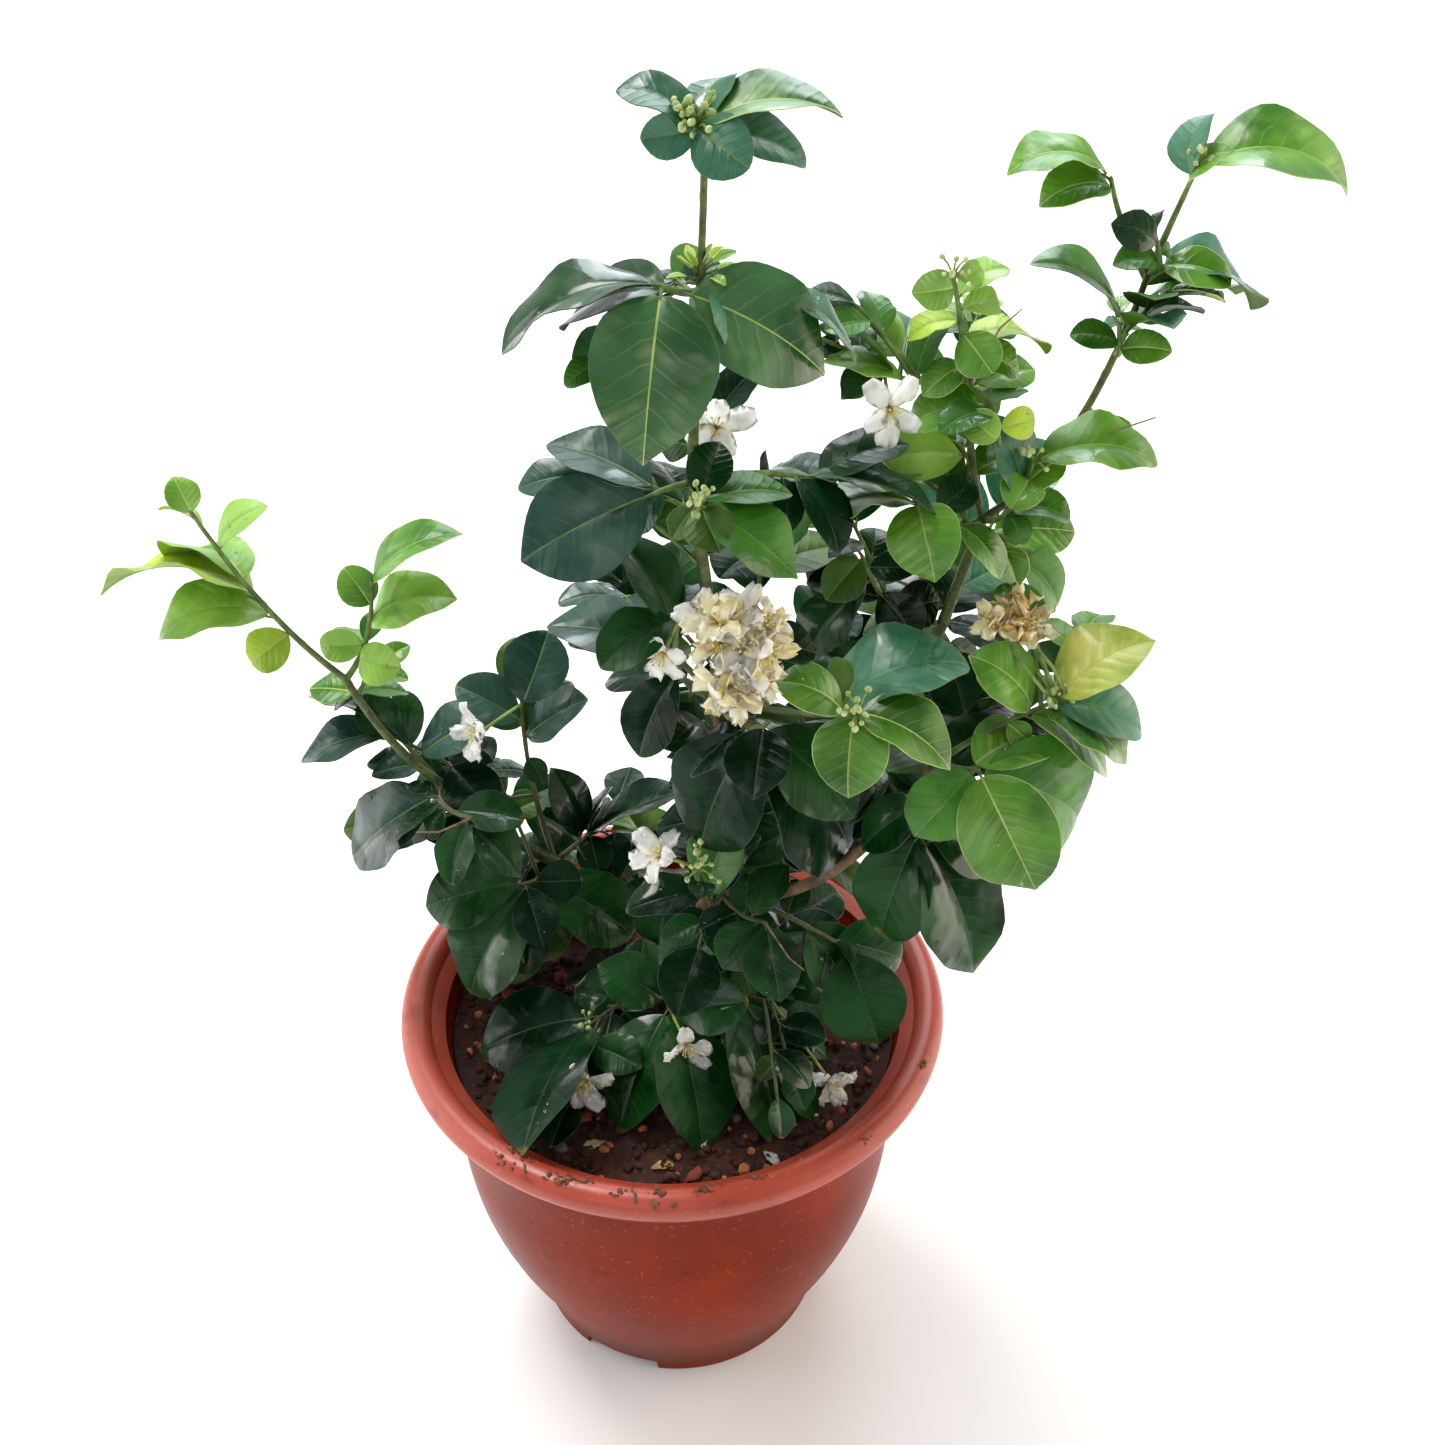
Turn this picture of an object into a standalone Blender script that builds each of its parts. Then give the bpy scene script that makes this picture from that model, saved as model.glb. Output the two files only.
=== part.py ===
"""An orange jasmine shrub in a round plastic pot, in metres, with +Z up.

The origin is the middle of the pot's foot, on the surface that the pot stands on.
-Y is the side that the shrub leans towards, and +X is the side of its tall shoot.
"""

from math import cos, pi, radians, sin
from random import Random

import bmesh
import bpy
from mathutils import Quaternion, Vector
from mathutils.bvhtree import BVHTree

for old in list(bpy.data.objects):
    bpy.data.objects.remove(old, do_unlink=True)

MM = 0.001
GAP = 0.3 * MM


def paint(name, colour, roughness):
    """A Principled material with one colour."""
    material = bpy.data.materials.new(name)
    material.use_nodes = True
    shader = material.node_tree.nodes["Principled BSDF"]
    shader.inputs["Base Color"].default_value = (*colour, 1.0)
    shader.inputs["Roughness"].default_value = roughness
    shader.inputs["Metallic"].default_value = 0.0
    return material


plastic = paint("terracotta plastic", (0.46, 0.10, 0.06), 0.45)
earth = paint("damp soil", (0.07, 0.03, 0.02), 0.95)
bark = paint("bark", (0.16, 0.10, 0.06), 0.8)
leaf_paints = {
    "dark": paint("dark leaf", (0.015, 0.050, 0.020), 0.3),
    "blue": paint("blue-green leaf", (0.035, 0.110, 0.050), 0.35),
    "bright": paint("bright leaf", (0.110, 0.240, 0.040), 0.4),
}

shrub = bpy.data.objects.new("shrub", None)
bpy.context.collection.objects.link(shrub)


def put(name, mesh, material, smooth_angle=None):
    """Links a mesh to the scene as one named object under the shrub's empty."""
    piece = bpy.data.objects.new(name, mesh)
    bpy.context.collection.objects.link(piece)
    piece.parent = shrub
    mesh.materials.clear()
    mesh.materials.append(material)
    if smooth_angle:
        for face in mesh.polygons:
            face.use_smooth = True
        mesh.set_sharp_from_angle(angle=radians(smooth_angle))
    return piece


# The pot: a thin wall that opens towards a thick rolled rim, on a ring foot with three notches.
around = 40
wall = 3.0 * MM
floor_top = 11.0 * MM
floor_under = 8.0 * MM
pad_radius = 18.0 * MM
foot_inner = 71.0 * MM
body = ((77.6, 0), (80.0, 12), (86.2, 30), (98.7, 60), (107.7, 90), (111.9, 120), (112.6, 150), (114.0, 180))
collar_radius = 119.0 * MM
collar_low = 181.5 * MM
bead_middle = (125.5 * MM, 200.5 * MM)
bead_radius = 9.5 * MM
soil_top = 187.0 * MM


def lathe(name, profile, top_shape=None):
    """Turns a profile of (radius, height) pairs round Z; a pair on the axis closes to one point."""
    mesh = bpy.data.meshes.new(name)
    shape = bmesh.new()
    rings = []
    for radius, height in profile:
        if radius == 0:
            rings.append([shape.verts.new((0, 0, height))] * around)
            continue
        angles = [2 * pi * k / around for k in range(around)]
        rings.append([shape.verts.new((radius * cos(a), radius * sin(a), height)) for a in angles])
    for low, high in zip(rings, rings[1:]):
        for k in range(around):
            following = (k + 1) % around
            corners = [low[k], low[following], high[following], high[k]]
            shape.faces.new(list(dict.fromkeys(corners)))
    if top_shape:
        for vert in shape.verts:
            vert.co.z += top_shape(vert.co)
    bmesh.ops.recalc_face_normals(shape, faces=shape.faces)
    shape.to_mesh(mesh)
    shape.free()
    return mesh


outer = [(radius * MM, height * MM) for radius, height in body]
bead = [
    (bead_middle[0] + bead_radius * cos(radians(a)), bead_middle[1] + bead_radius * sin(radians(a)))
    for a in (-130, -88, -46, -4, 38, 80, 122, 165)
]
inner = [(radius - wall, height) for radius, height in reversed(outer[2::2] + outer[-1:])]
lip = [(113.0 * MM, 195.0 * MM), (111.3 * MM, 188.0 * MM)]
pot_profile = (
    [(0, 0), (pad_radius, 0), (pad_radius + 1.5 * MM, floor_under), (foot_inner - 1.5 * MM, floor_under)]
    + [(foot_inner, 0)]
    + outer
    + [(collar_radius, collar_low)]
    + bead
    + lip
    + inner
    + [(75.0 * MM, floor_top + 3 * MM), (72.0 * MM, floor_top), (0, floor_top)]
)
pot = put("pot", lathe("pot", pot_profile), plastic, 40)

notch_height = 9.0 * MM
notch_width = 41.0 * MM
notch_depth = 30.0 * MM
for compass in (-112.5, 7.5, 127.5):
    bpy.ops.mesh.primitive_cube_add(size=1)
    cutter = bpy.context.object
    cutter.name = f"foot_notch_{compass:.0f}"
    cutter.scale = (notch_depth, notch_width, 2 * notch_height)
    cutter.rotation_euler.z = radians(compass)
    cutter.location = (foot_inner + notch_depth / 4) * Vector((cos(radians(compass)), sin(radians(compass)), 0))
    cutter.parent = shrub
    cutter.hide_render = True
    cutter.display_type = "WIRE"
    cut = pot.modifiers.new("notch", "BOOLEAN")
    cut.object = cutter
    cut.solver = "EXACT"

# The soil: it fills the pot to a little below the rim, uneven on top but level round the trunk.
soil_edge = 111.0 * MM - GAP


def soil_waves(place):
    """Height of the soil's surface above its level: none near the trunk and at the wall."""
    if place.z < soil_top - MM:
        return 0.0
    reach = (place.x**2 + place.y**2) ** 0.5 / soil_edge
    swell = max(0.0, reach - 0.2) * max(0.0, 1 - reach) * 6
    return swell * (2.2 * sin(place.x * 70 + 1) + 1.8 * cos(place.y * 85)) * MM


soil_profile = (
    [(0, floor_top + GAP), (71.5 * MM, floor_top + GAP), (74.5 * MM, floor_top + 3 * MM + GAP)]
    + [(radius - GAP, height) for radius, height in reversed(inner)]
    + [(soil_edge, soil_top)]
    + [(share * soil_edge, soil_top) for share in (0.75, 0.5, 0.2)]
    + [(0, soil_top)]
)
soil = put("soil", lathe("soil", soil_profile, soil_waves), earth)


# Growth: the curves, tubes and leaflets that all limbs and masses of leaves are made of.
def heading(compass, rise):
    """Unit vector at a compass angle (0 is +X, 90 is +Y) and a rise above level, in degrees."""
    a, e = radians(compass), radians(rise)
    return Vector((cos(e) * cos(a), cos(e) * sin(a), sin(e)))


def bow(start, leave, end, steps):
    """Points of a smooth curve that leaves start along a direction and comes to end."""
    knee = start + leave * (end - start).length * 0.42
    shares = [k / steps for k in range(steps + 1)]
    return [start.lerp(knee, t).lerp(knee.lerp(end, t), t) for t in shares]


def tube(points, radii, sides):
    """Vertices and faces of a closed tube with flat ends."""
    verts, faces = [], []
    last = len(points) - 1
    side = (points[1] - points[0]).orthogonal()
    for k, point in enumerate(points):
        along = (points[min(k + 1, last)] - points[max(k - 1, 0)]).normalized()
        side = (side - along * side.dot(along)).normalized()
        other = along.cross(side)
        for j in range(sides):
            a = 2 * pi * j / sides
            verts.append(point + (side * cos(a) + other * sin(a)) * radii[k])
    for k in range(last):
        for j in range(sides):
            a, b = k * sides + j, k * sides + (j + 1) % sides
            faces.append((a, b, b + sides, a + sides))
    faces.append(tuple(reversed(range(sides))))
    faces.append(tuple(range(last * sides, (last + 1) * sides)))
    return verts, faces


# Leaves turn their upper faces towards the light, which comes from above the -Y side.
light = Vector((0.0, -0.20, 0.98))
leaf_thick = 1.1 * MM
stalk = 0.8 * MM
fold = 0.24
# Each ring of a leaflet: its share of the length, and its half-width as a share of the width.
leaf_rings = ((0.0, None), (0.32, 0.46), (0.72, 0.45))
stalked_rings = ((0.0, None), (0.08, None), (0.36, 0.47), (0.74, 0.45))


def blade(base, along, up, length, width, bend, rings, swell=0.0, first=0):
    """Vertices and faces of a closed leaflet, bent down along its length and folded at its midrib."""
    side = along.cross(up)
    verts, faces = [], []
    place, before = base.copy(), 0.0
    for k, (share, half) in enumerate(rings + ((1.0, 0.0),)):
        middle = radians(bend) * (before + share) / 2
        place = place + (along * cos(middle) - up * sin(middle)) * (share - before) * length
        angle = radians(bend) * share
        lift = up * cos(angle) + along * sin(angle)
        before = share
        if k < first:
            continue
        if share == 1.0:
            verts.append(place + (along * cos(angle) - up * sin(angle)) * swell)
            break
        reach = (stalk if half is None else half * width) + swell
        thick = (stalk * 0.7 if half is None else leaf_thick / 2) + swell
        edge = lift * reach * fold
        verts += [place - side * reach + edge, place + lift * thick]
        verts += [place + side * reach + edge, place - lift * thick]
    rows = len(verts) // 4
    for k in range(rows - 1):
        for j in range(4):
            a, b = 4 * k + j, 4 * k + (j + 1) % 4
            faces.append((a, b, b + 4, a + 4))
    tip = len(verts) - 1
    for j in range(4):
        faces.append((4 * (rows - 1) + j, 4 * (rows - 1) + (j + 1) % 4, tip))
    faces.append((3, 2, 1, 0))
    return verts, faces


# The trunk: a short brown stem with a root flare, cut flat at the soil, up to its first fork.
trunk_tip = Vector((0, 2, 213)) * MM
trunk_radius = 6.5 * MM
flare = ((0.0, 1.75), (0.12, 1.35), (0.3, 1.12), (0.6, 1.0), (1.0, 1.0))
trunk_foot = Vector((-1 * MM, 0, soil_top + GAP))
trunk_line = [trunk_foot.lerp(trunk_tip, share) for share, swell in flare]
trunk_widths = [trunk_radius * swell for share, swell in flare]

# The limbs: each is one tapering tube between two forks, domed at its tip. A row holds the limb
# it grows from, its tip in mm, its radii in mm at both ends, and the compass angle and rise
# at which it leaves its fork.
limbs = {
    "left_foot": ("trunk", (-60, 45, 252), (4.0, 3.2), (146, 28)),
    "left_arm": ("left_foot", (-110, 32, 312), (3.0, 2.4), (192, 38)),
    "left_tip": ("left_arm", (-144, 20, 380), (2.2, 1.7), (200, 50)),
    "leader_foot": ("trunk", (23, -10, 283), (4.8, 4.2), (330, 76)),
    "leader_low": ("leader_foot", (24, -22, 398), (3.8, 3.1), (290, 84)),
    "leader_mid": ("leader_low", (13, -32, 504), (2.9, 2.3), (200, 84)),
    "leader_high": ("leader_mid", (17, -58, 588), (2.0, 1.7), (280, 74)),
    "leader_top": ("leader_high", (19, -70, 631), (1.3, 1.2), (285, 76)),
    "right_foot": ("leader_foot", (115, 8, 402), (3.4, 2.8), (22, 24)),
    "right_mid": ("right_foot", (133, 18, 462), (2.6, 2.1), (28, 70)),
    "front_arm": ("leader_foot", (114, -42, 380), (3.0, 2.3), (322, 12)),
    "tall_low": ("right_mid", (181, 28, 531), (1.8, 1.5), (4, 34)),
    "tall_high": ("tall_low", (189, 28, 564), (1.4, 1.3), (20, 70)),
    "east_low": ("right_mid", (121, 14, 522), (1.6, 1.4), (200, 72)),
    "back_arm": ("leader_foot", (32, 68, 345), (3.0, 2.4), (88, 26)),
}

forks = {"trunk": (trunk_tip, trunk_radius)}
limb_lines = {"trunk": (trunk_line, trunk_widths)}
for name, (parent, tip, radii, leave) in limbs.items():
    fork_point, fork_radius = forks[parent]
    way = heading(*leave)
    line = bow(fork_point + way * (fork_radius + GAP), way, Vector(tip) * MM, 5)
    widths = [(radii[0] + (radii[1] - radii[0]) * k / 5) * MM for k in range(6)]
    limb_lines[name] = (line, widths)
    forks[name] = (Vector(tip) * MM, radii[1] * MM)


def limb_shape(line, widths, neck=0.6, sides=6):
    """A limb's tube, narrower where it leaves its fork and domed at its tip."""
    along = (line[-1] - line[-2]).normalized()
    knee = line[0] + (line[1] - line[0]).normalized() * widths[0] * 1.1
    points, radii = list(line), list(widths)
    if neck < 1:
        points, radii = [line[0], knee] + line[1:], [widths[0] * neck] + list(widths)
    for angle in (40, 70):
        points.append(line[-1] + along * widths[-1] * sin(radians(angle)))
        radii.append(widths[-1] * cos(radians(angle)))
    return tube(points, radii, sides)


# The shoots: each bears one mass of leaves. A row holds the limb whose tip it grows from, the
# tip of its stem in mm, the compass angle and rise at which it leaves, its tint, where on the
# stem the leaves begin, how far a leaf arches along its length in degrees, and its leaves. A leaf
# is its compass angle, the rise of its chord, the length of its end leaflet in mm and, where they
# are set, its width in mm, its roll in degrees and its count of leaflets. Flowers are a compass
# angle, a rise and a distance in mm from the stem's tip.
shoots = {
    "crown": ("leader_top", (17, -72, 645), (270, 76), "blue", 0.7, 66,
        ((70, 26, 30, 19, -27), (360, -15, 36, 22, 8), (163, 22, 31, 19, 4), (192, 7, 21, 14, -65), (5, 3, 48, 30, -1), (314, -19, 25, 18, 46)),
        ()),
    "whorl": ("leader_high", (5, -74, 596), (225, 8), "blue", 0.1, 60,
        ((36, -48, 42, 26, 22), (2, -18, 47, 29, -4, 3), (347, -37, 60, 37, 7), (155, -26, 50, 31, -6), (136, -45, 39, 24, -36), (178, -21, 62, 39, 5), (258, -58, 61, 38, -10)),
        ()),
    "upper_left": ("leader_mid", (0, -48, 508), (212, 4), "blue", 0.5, 45,
        ((197, -52, 22, 14, -10), (155, 15, 35, 22, 12), (169, -3, 55, 34, 6), (194, -23, 57, 36, -36)),
        ()),
    "upper_front": ("leader_mid", (17, -60, 509), (280, 0), "dark", 0.45, 40,
        ((22, 4, 28, 17, 0), (71, 42, 26, 17, 14), (3, -11, 40, 25, -7), (201, -50, 17, 11, -7), (305, -26, 25, 19, 27), (344, -34, 45, 28, 5)),
        ()),
    "upper_right": ("leader_mid", (70, 2, 486), (20, 6), "dark", 0.35, 50,
        ((75, -22, 18, 14, 62), (132, -54, 19, 13, -96), (281, -70, 25, 15, -33), (325, -47, 42, 26, -20), (351, -13, 56, 34, -16), (20, 2, 49, 30, -7), (17, 21, 37, 23, 9), (50, 6, 27, 17, 2)),
        ()),
    "upper_back": ("leader_mid", (21, 0, 513), (100, 16), "dark", 0.5, 40,
        ((146, -7, 18, 14, -54), (0, 45, 22, 14, 37), (150, 31, 24, 15, -14), (28, 44, 30, 19, -4)),
        ((277, 18, 11),)),
    "centre_left": ("leader_low", (8, -38, 450), (188, 22), "dark", 0.4, 48,
        ((219, -57, 42, 26, 8), (87, 58, 43, 26, -53), (171, 7, 55, 34, 2), (142, 50, 52, 32, 20), (206, -2, 19, 12, -44), (208, -41, 47, 29, -2)),
        ((232, -51, 16),)),
    "blossom": ("leader_low", (30, -80, 465), (280, 4), "dark", 0.5, 40,
        ((216, 16, 18, 13, -49), (8, -14, 32, 20, -3)),
        ((188, 41, 18), (229, 24, 12), (311, 80, 15), (342, 41, 18), (283, 23, 13), (324, 6, 17), (277, -43, 19), (313, -41, 22))),
    "centre_dark": ("leader_low", (43, -58, 412), (305, -28), "dark", 0.45, 35,
        ((189, -44, 34, 21, 7), (195, -77, 71, 44, 21), (354, -66, 90, 56, -28), (318, -56, 64, 40, -30), (266, -35, 35, 26, -1), (337, -50, 56, 35, -4)),
        ()),
    "front": ("leader_low", (75, -88, 438), (338, 0), "bright", 0.6, 40,
        ((24, -26, 67, 42, -9), (6, 15, 64, 40, -24), (51, 30, 36, 28, 21), (176, 26, 33, 21, -10), (340, -23, 46, 28, -5), (270, -49, 37, 28, 5)),
        ()),
    "centre_back": ("leader_low", (42, 30, 440), (60, 22), "dark", 0.3, 45,
        ((300, 0, 36), (170, 10, 38), (100, 20, 40), (20, 10, 40), (240, 10, 38)),
        ()),
    "left_back": ("leader_low", (-18, 22, 428), (140, 20), "dark", 0.4, 45,
        ((60, 10, 38), (200, -5, 38), (100, 20, 36), (150, 12, 36)),
        ()),
    "low_front": ("leader_foot", (15, -50, 329), (262, 6), "dark", 0.3, 40,
        ((27, 49, 48, 30, -23), (65, 55, 51, 32, -20), (193, -7, 37, 23, 4), (266, 8, 14, 11, -6), (162, 41, 43, 26, 5)),
        ((201, 36, 21),)),
    "low_centre": ("leader_foot", (44, -44, 292), (296, -12), "dark", 0.3, 40,
        ((199, -17, 20, 14, -33), (88, 43, 22, 17, 0), (32, 35, 33, 20, -9), (225, -31, 27, 21, -22), (286, -46, 37, 24, 9)),
        ()),
    "low_right": ("leader_foot", (83, -22, 256), (345, -14), "dark", 0.4, 40,
        ((65, 33, 19, 14, 11), (351, -56, 45, 28, 17), (235, -64, 29, 22, -12), (3, -31, 41, 25, 2), (306, -54, 51, 37, 21)),
        ()),
    "ground_left": ("trunk", (-40, -30, 212), (214, 4), "dark", 0.2, 45,
        ((88, 40, 30, 22, 4), (163, 1, 28, 22, -32), (275, -18, 63, 39, 27), (201, -17, 65, 40, 27), (255, 1, 84, 52, 45)),
        ((263, -19, 31),)),
    "ground_front": ("trunk", (1, -40, 231), (262, 8), "dark", 0.3, 45,
        ((170, 27, 40, 25, -22), (11, 32, 39, 24, 9), (259, -28, 65, 40, 52), (336, -6, 52, 34, 30), (276, -33, 68, 42, -58)),
        ((295, -40, 14),)),
    "ground_right": ("trunk", (48, -32, 231), (328, 4), "dark", 0.3, 45,
        ((347, -4, 62, 39, -27), (269, -21, 78, 48, -68), (124, 42, 23, 18, -17), (279, -38, 60, 43, 6)),
        ((318, -37, 45),)),
    "ground_back": ("trunk", (12, 46, 232), (76, 10), "dark", 0.4, 45,
        ((20, 5, 38), (140, 5, 38), (60, 5, 40), (100, 5, 40)),
        ()),
    "low_left": ("left_foot", (-70, 4, 273), (248, 6), "dark", 0.45, 40,
        ((341, -31, 57, 36, -27), (5, -2, 25, 19, 38), (233, -54, 66, 41, 32), (184, -23, 57, 35, 12), (287, -55, 37, 23, 1)),
        ()),
    "inner_left": ("left_foot", (-70, 42, 351), (130, 62), "dark", 0.45, 40,
        ((194, 8, 26, 16, 11), (321, -49, 15, 11, 21), (349, 40, 44, 27, 13), (176, 33, 37, 23, -15), (60, 49, 39, 28, 23)),
        ((215, -16, 22),)),
    "rear_left": ("left_foot", (-43, 60, 258), (30, 28), "dark", 0.35, 40,
        ((192, 20, 31, 19, -7), (170, 29, 54, 33, 28), (132, 58, 42, 26, 30), (9, 24, 60, 37, -29), (58, 59, 37, 23, -41), (288, -31, 23, 17, 6)),
        ()),
    "left_under": ("left_arm", (-92, 4, 313), (262, -8), "dark", 0.05, 40,
        ((180, -40, 61, 38, -12), (151, 10, 22, 13, 8), (193, -36, 33, 21, 24), (205, -42, 26, 16, -21), (13, -24, 39, 24, 8), (336, -44, 41, 26, -14), (263, -60, 37, 23, 23)),
        ()),
    "left_over": ("left_arm", (-135, 46, 337), (150, 40), "dark", 0.0, 40,
        ((329, 15, 28, 18, 43), (199, -1, 26, 16, -4), (12, 28, 45, 28, 7), (96, 43, 31, 19, -10), (153, 40, 30, 19, -26), (185, -17, 50, 31, 12), (161, 9, 44, 27, 37)),
        ()),
    "left_fork": ("left_tip", (-128, 26, 426), (30, 44), "bright", 0.0, 40,
        ((345, 1, 23, 18, 43), (185, -4, 23, 15, -47), (0, 19, 47, 29, 5), (160, 57, 22, 16, -28), (8, 28, 51, 31, -6)),
        ()),
    "left_spray": ("left_tip", (-191, 2, 475), (192, 50), "bright", 0.25, 44,
        ((203, -29, 24, 18, -48), (189, -6, 56, 35, 5), (177, 1, 78, 48, 31), (164, -11, 61, 38, 30), (219, 22, 9, 7, -58), (15, 37, 31, 19, -2), (168, 21, 22, 13, 36), (147, 65, 18, 13, -14)),
        ()),
    "right_back": ("right_foot", (132, 52, 402), (78, 4), "dark", 0.3, 45,
        ((200, 5, 38), (330, -10, 40), (60, 0, 40), (140, 5, 40), (20, 0, 38), (100, 0, 40)),
        ()),
    "middle": ("right_foot", (83, 12, 448), (168, 36), "dark", 0.3, 50,
        ((243, -45, 23, 17, -11), (20, 0, 24, 19, 45), (174, -3, 41, 26, -5), (330, -43, 28, 20, 40), (210, -43, 45, 28, 17), (343, 6, 22, 13, 29), (218, -34, 25, 17, -30)),
        ()),
    "right_front": ("front_arm", (161, -40, 410), (12, 36), "bright", 0.55, 42,
        ((327, -27, 13, 10, 40), (90, 41, 30, 19, 26), (339, -31, 47, 29, -17), (176, 43, 41, 25, -13), (337, -25, 46, 29, -5), (354, -16, 44, 27, 10), (13, 30, 51, 32, -3)),
        ((148, 47, 39), (136, 55, 40), (140, 60, 31))),
    "right_nose": ("front_arm", (128, -60, 390), (318, 10), "bright", 0.65, 40,
        ((27, -6, 46, 28, -25), (7, -40, 69, 43, 0), (205, -44, 40, 26, -27), (312, -49, 59, 36, 30)),
        ()),
    "right_under": ("front_arm", (109, -40, 338), (262, -12), "dark", 0.4, 40,
        ((184, -42, 38, 23, 0), (159, -14, 36, 22, -3), (135, -4, 23, 15, -39), (9, -35, 45, 28, 26), (235, -72, 56, 35, 31), (319, -62, 73, 45, -18)),
        ()),
    "right_side": ("right_mid", (148, 2, 496), (306, 14), "bright", 0.1, 50,
        ((353, 1, 32, 20, -10), (311, -24, 21, 13, 20), (160, 60, 48, 30, 4), (25, 46, 28, 18, 8), (237, -15, 23, 17, -20), (356, 0, 54, 33, -15)),
        ()),
    "right_inner": ("right_mid", (101, -6, 483), (222, 0), "bright", 0.25, 35,
        ((325, -39, 32, 20, -10), (344, -37, 66, 41, -5), (36, 29, 24, 15, 25), (182, -9, 51, 32, 25), (289, -48, 36, 27, 19)),
        ()),
    "tall_cluster": ("tall_low", (179, 22, 545), (270, 6), "bright", 0.3, 40,
        ((338, 7, 22, 13, 38), (180, 12, 22, 13, -14), (0, 19, 36, 23, -23), (23, 34, 25, 15, 2), (180, 33, 49, 30, 8)),
        ()),
    "tall_side": ("tall_high", (187, 22, 581), (300, 14), "bright", 0.0, 42,
        ((14, -24, 54, 34, 1), (341, -21, 34, 21, 19), (180, -4, 19, 12, -21), (47, 3, 8, 6, 42), (186, 24, 23, 14, -48), (60, 37, 12, 7, -41)),
        ()),
    "tall_left": ("tall_high", (168, 22, 601), (160, 46), "bright", 0.8, 60,
        ((188, -11, 32, 20, -12), (177, 2, 45, 28, 11)),
        ()),
    "tall_top": ("tall_high", (198, 18, 607), (10, 72), "bright", 0.7, 64,
        ((220, 50, 20, 13, -53), (338, 43, 23, 14, 4), (61, 53, 28, 18, -42), (142, 39, 26, 16, 1), (360, -10, 65, 40, 1)),
        ()),
    "east_top": ("east_low", (111, 10, 569), (130, 78), "bright", 0.1, 45,
        ((204, -29, 23, 14, -21), (4, -9, 32, 20, 16), (15, -13, 41, 25, -12), (322, -41, 22, 17, 44), (180, -22, 23, 14, -1), (24, -4, 20, 12, 21), (25, 20, 26, 16, -9), (192, -3, 19, 14, -57), (26, 3, 14, 9, 55)),
        ()),
    "east_left": ("east_low", (88, 14, 528), (196, 10), "dark", 0.4, 35,
        ((58, 2, 12, 9, 36), (55, 48, 30, 18, -33), (183, 13, 35, 22, 3), (158, 33, 32, 20, 31), (204, -20, 21, 13, -1)),
        ((276, -30, 16),)),
    "east_right": ("east_low", (132, -6, 508), (330, -6), "bright", 0.3, 40,
        ((173, -20, 36, 22, -12), (202, -11, 28, 17, 1), (26, 0, 19, 12, 50), (146, 39, 19, 14, -45)),
        ()),
    "back_left": ("back_arm", (-4, 86, 380), (152, 24), "dark", 0.3, 45,
        ((60, 0, 40), (200, -10, 40), (100, 5, 42), (250, 20, 38), (80, 40, 40), (150, 0, 42)),
        ()),
    "back_right": ("back_arm", (82, 84, 380), (28, 24), "dark", 0.3, 45,
        ((130, 5, 40), (330, -10, 40), (70, 0, 42), (300, 20, 38), (90, 40, 40), (20, 0, 42)),
        ()),
}


def flower_parts(tip, flower):
    """A flower on its stalk: a slim tube, and a star of five petals cupped round its end."""
    compass, rise, reach = flower
    way = heading(compass, rise)
    heart = tip + way * reach * MM
    outward = (way + Vector((0, -0.5, 0.6))).normalized()
    across = outward.orthogonal().normalized()
    verts = [heart - outward * 1.5 * MM, heart + outward * 0.8 * MM]
    for k in range(10):
        spread = Quaternion(outward, 2 * pi * k / 10) @ across
        verts.append(heart + spread * (4.5 if k % 2 else 11.5) * MM + outward * (1.2 if k % 2 else 5.0) * MM)
    faces = []
    for k in range(10):
        here, following = 2 + k, 2 + (k + 1) % 10
        faces += [(0, following, here), (1, here, following)]
    return [tube([tip, heart], [0.9 * MM, 1.3 * MM], 3), (verts, faces)]


obstacles = []


def clear_of(verts, faces, keep):
    """True where a shape meets none of the kept obstacles."""
    middle = sum(verts, Vector()) / len(verts)
    reach = max((vert - middle).length for vert in verts)
    tree = None
    for place, size, other, owner, kind in obstacles:
        if not keep(owner, kind) or (place - middle).length > size + reach:
            continue
        tree = tree or BVHTree.FromPolygons(verts, faces)
        if tree.overlap(other):
            return False
    return True


def add_obstacle(verts, faces, owner, kind):
    """Keeps a shape for later growth to stay clear of."""
    middle = sum(verts, Vector()) / len(verts)
    reach = max((vert - middle).length for vert in verts)
    obstacles.append((middle, reach, BVHTree.FromPolygons(verts, faces), owner, kind))


margin = 0.35 * MM
rachis_radius = 1.0 * MM


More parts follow.
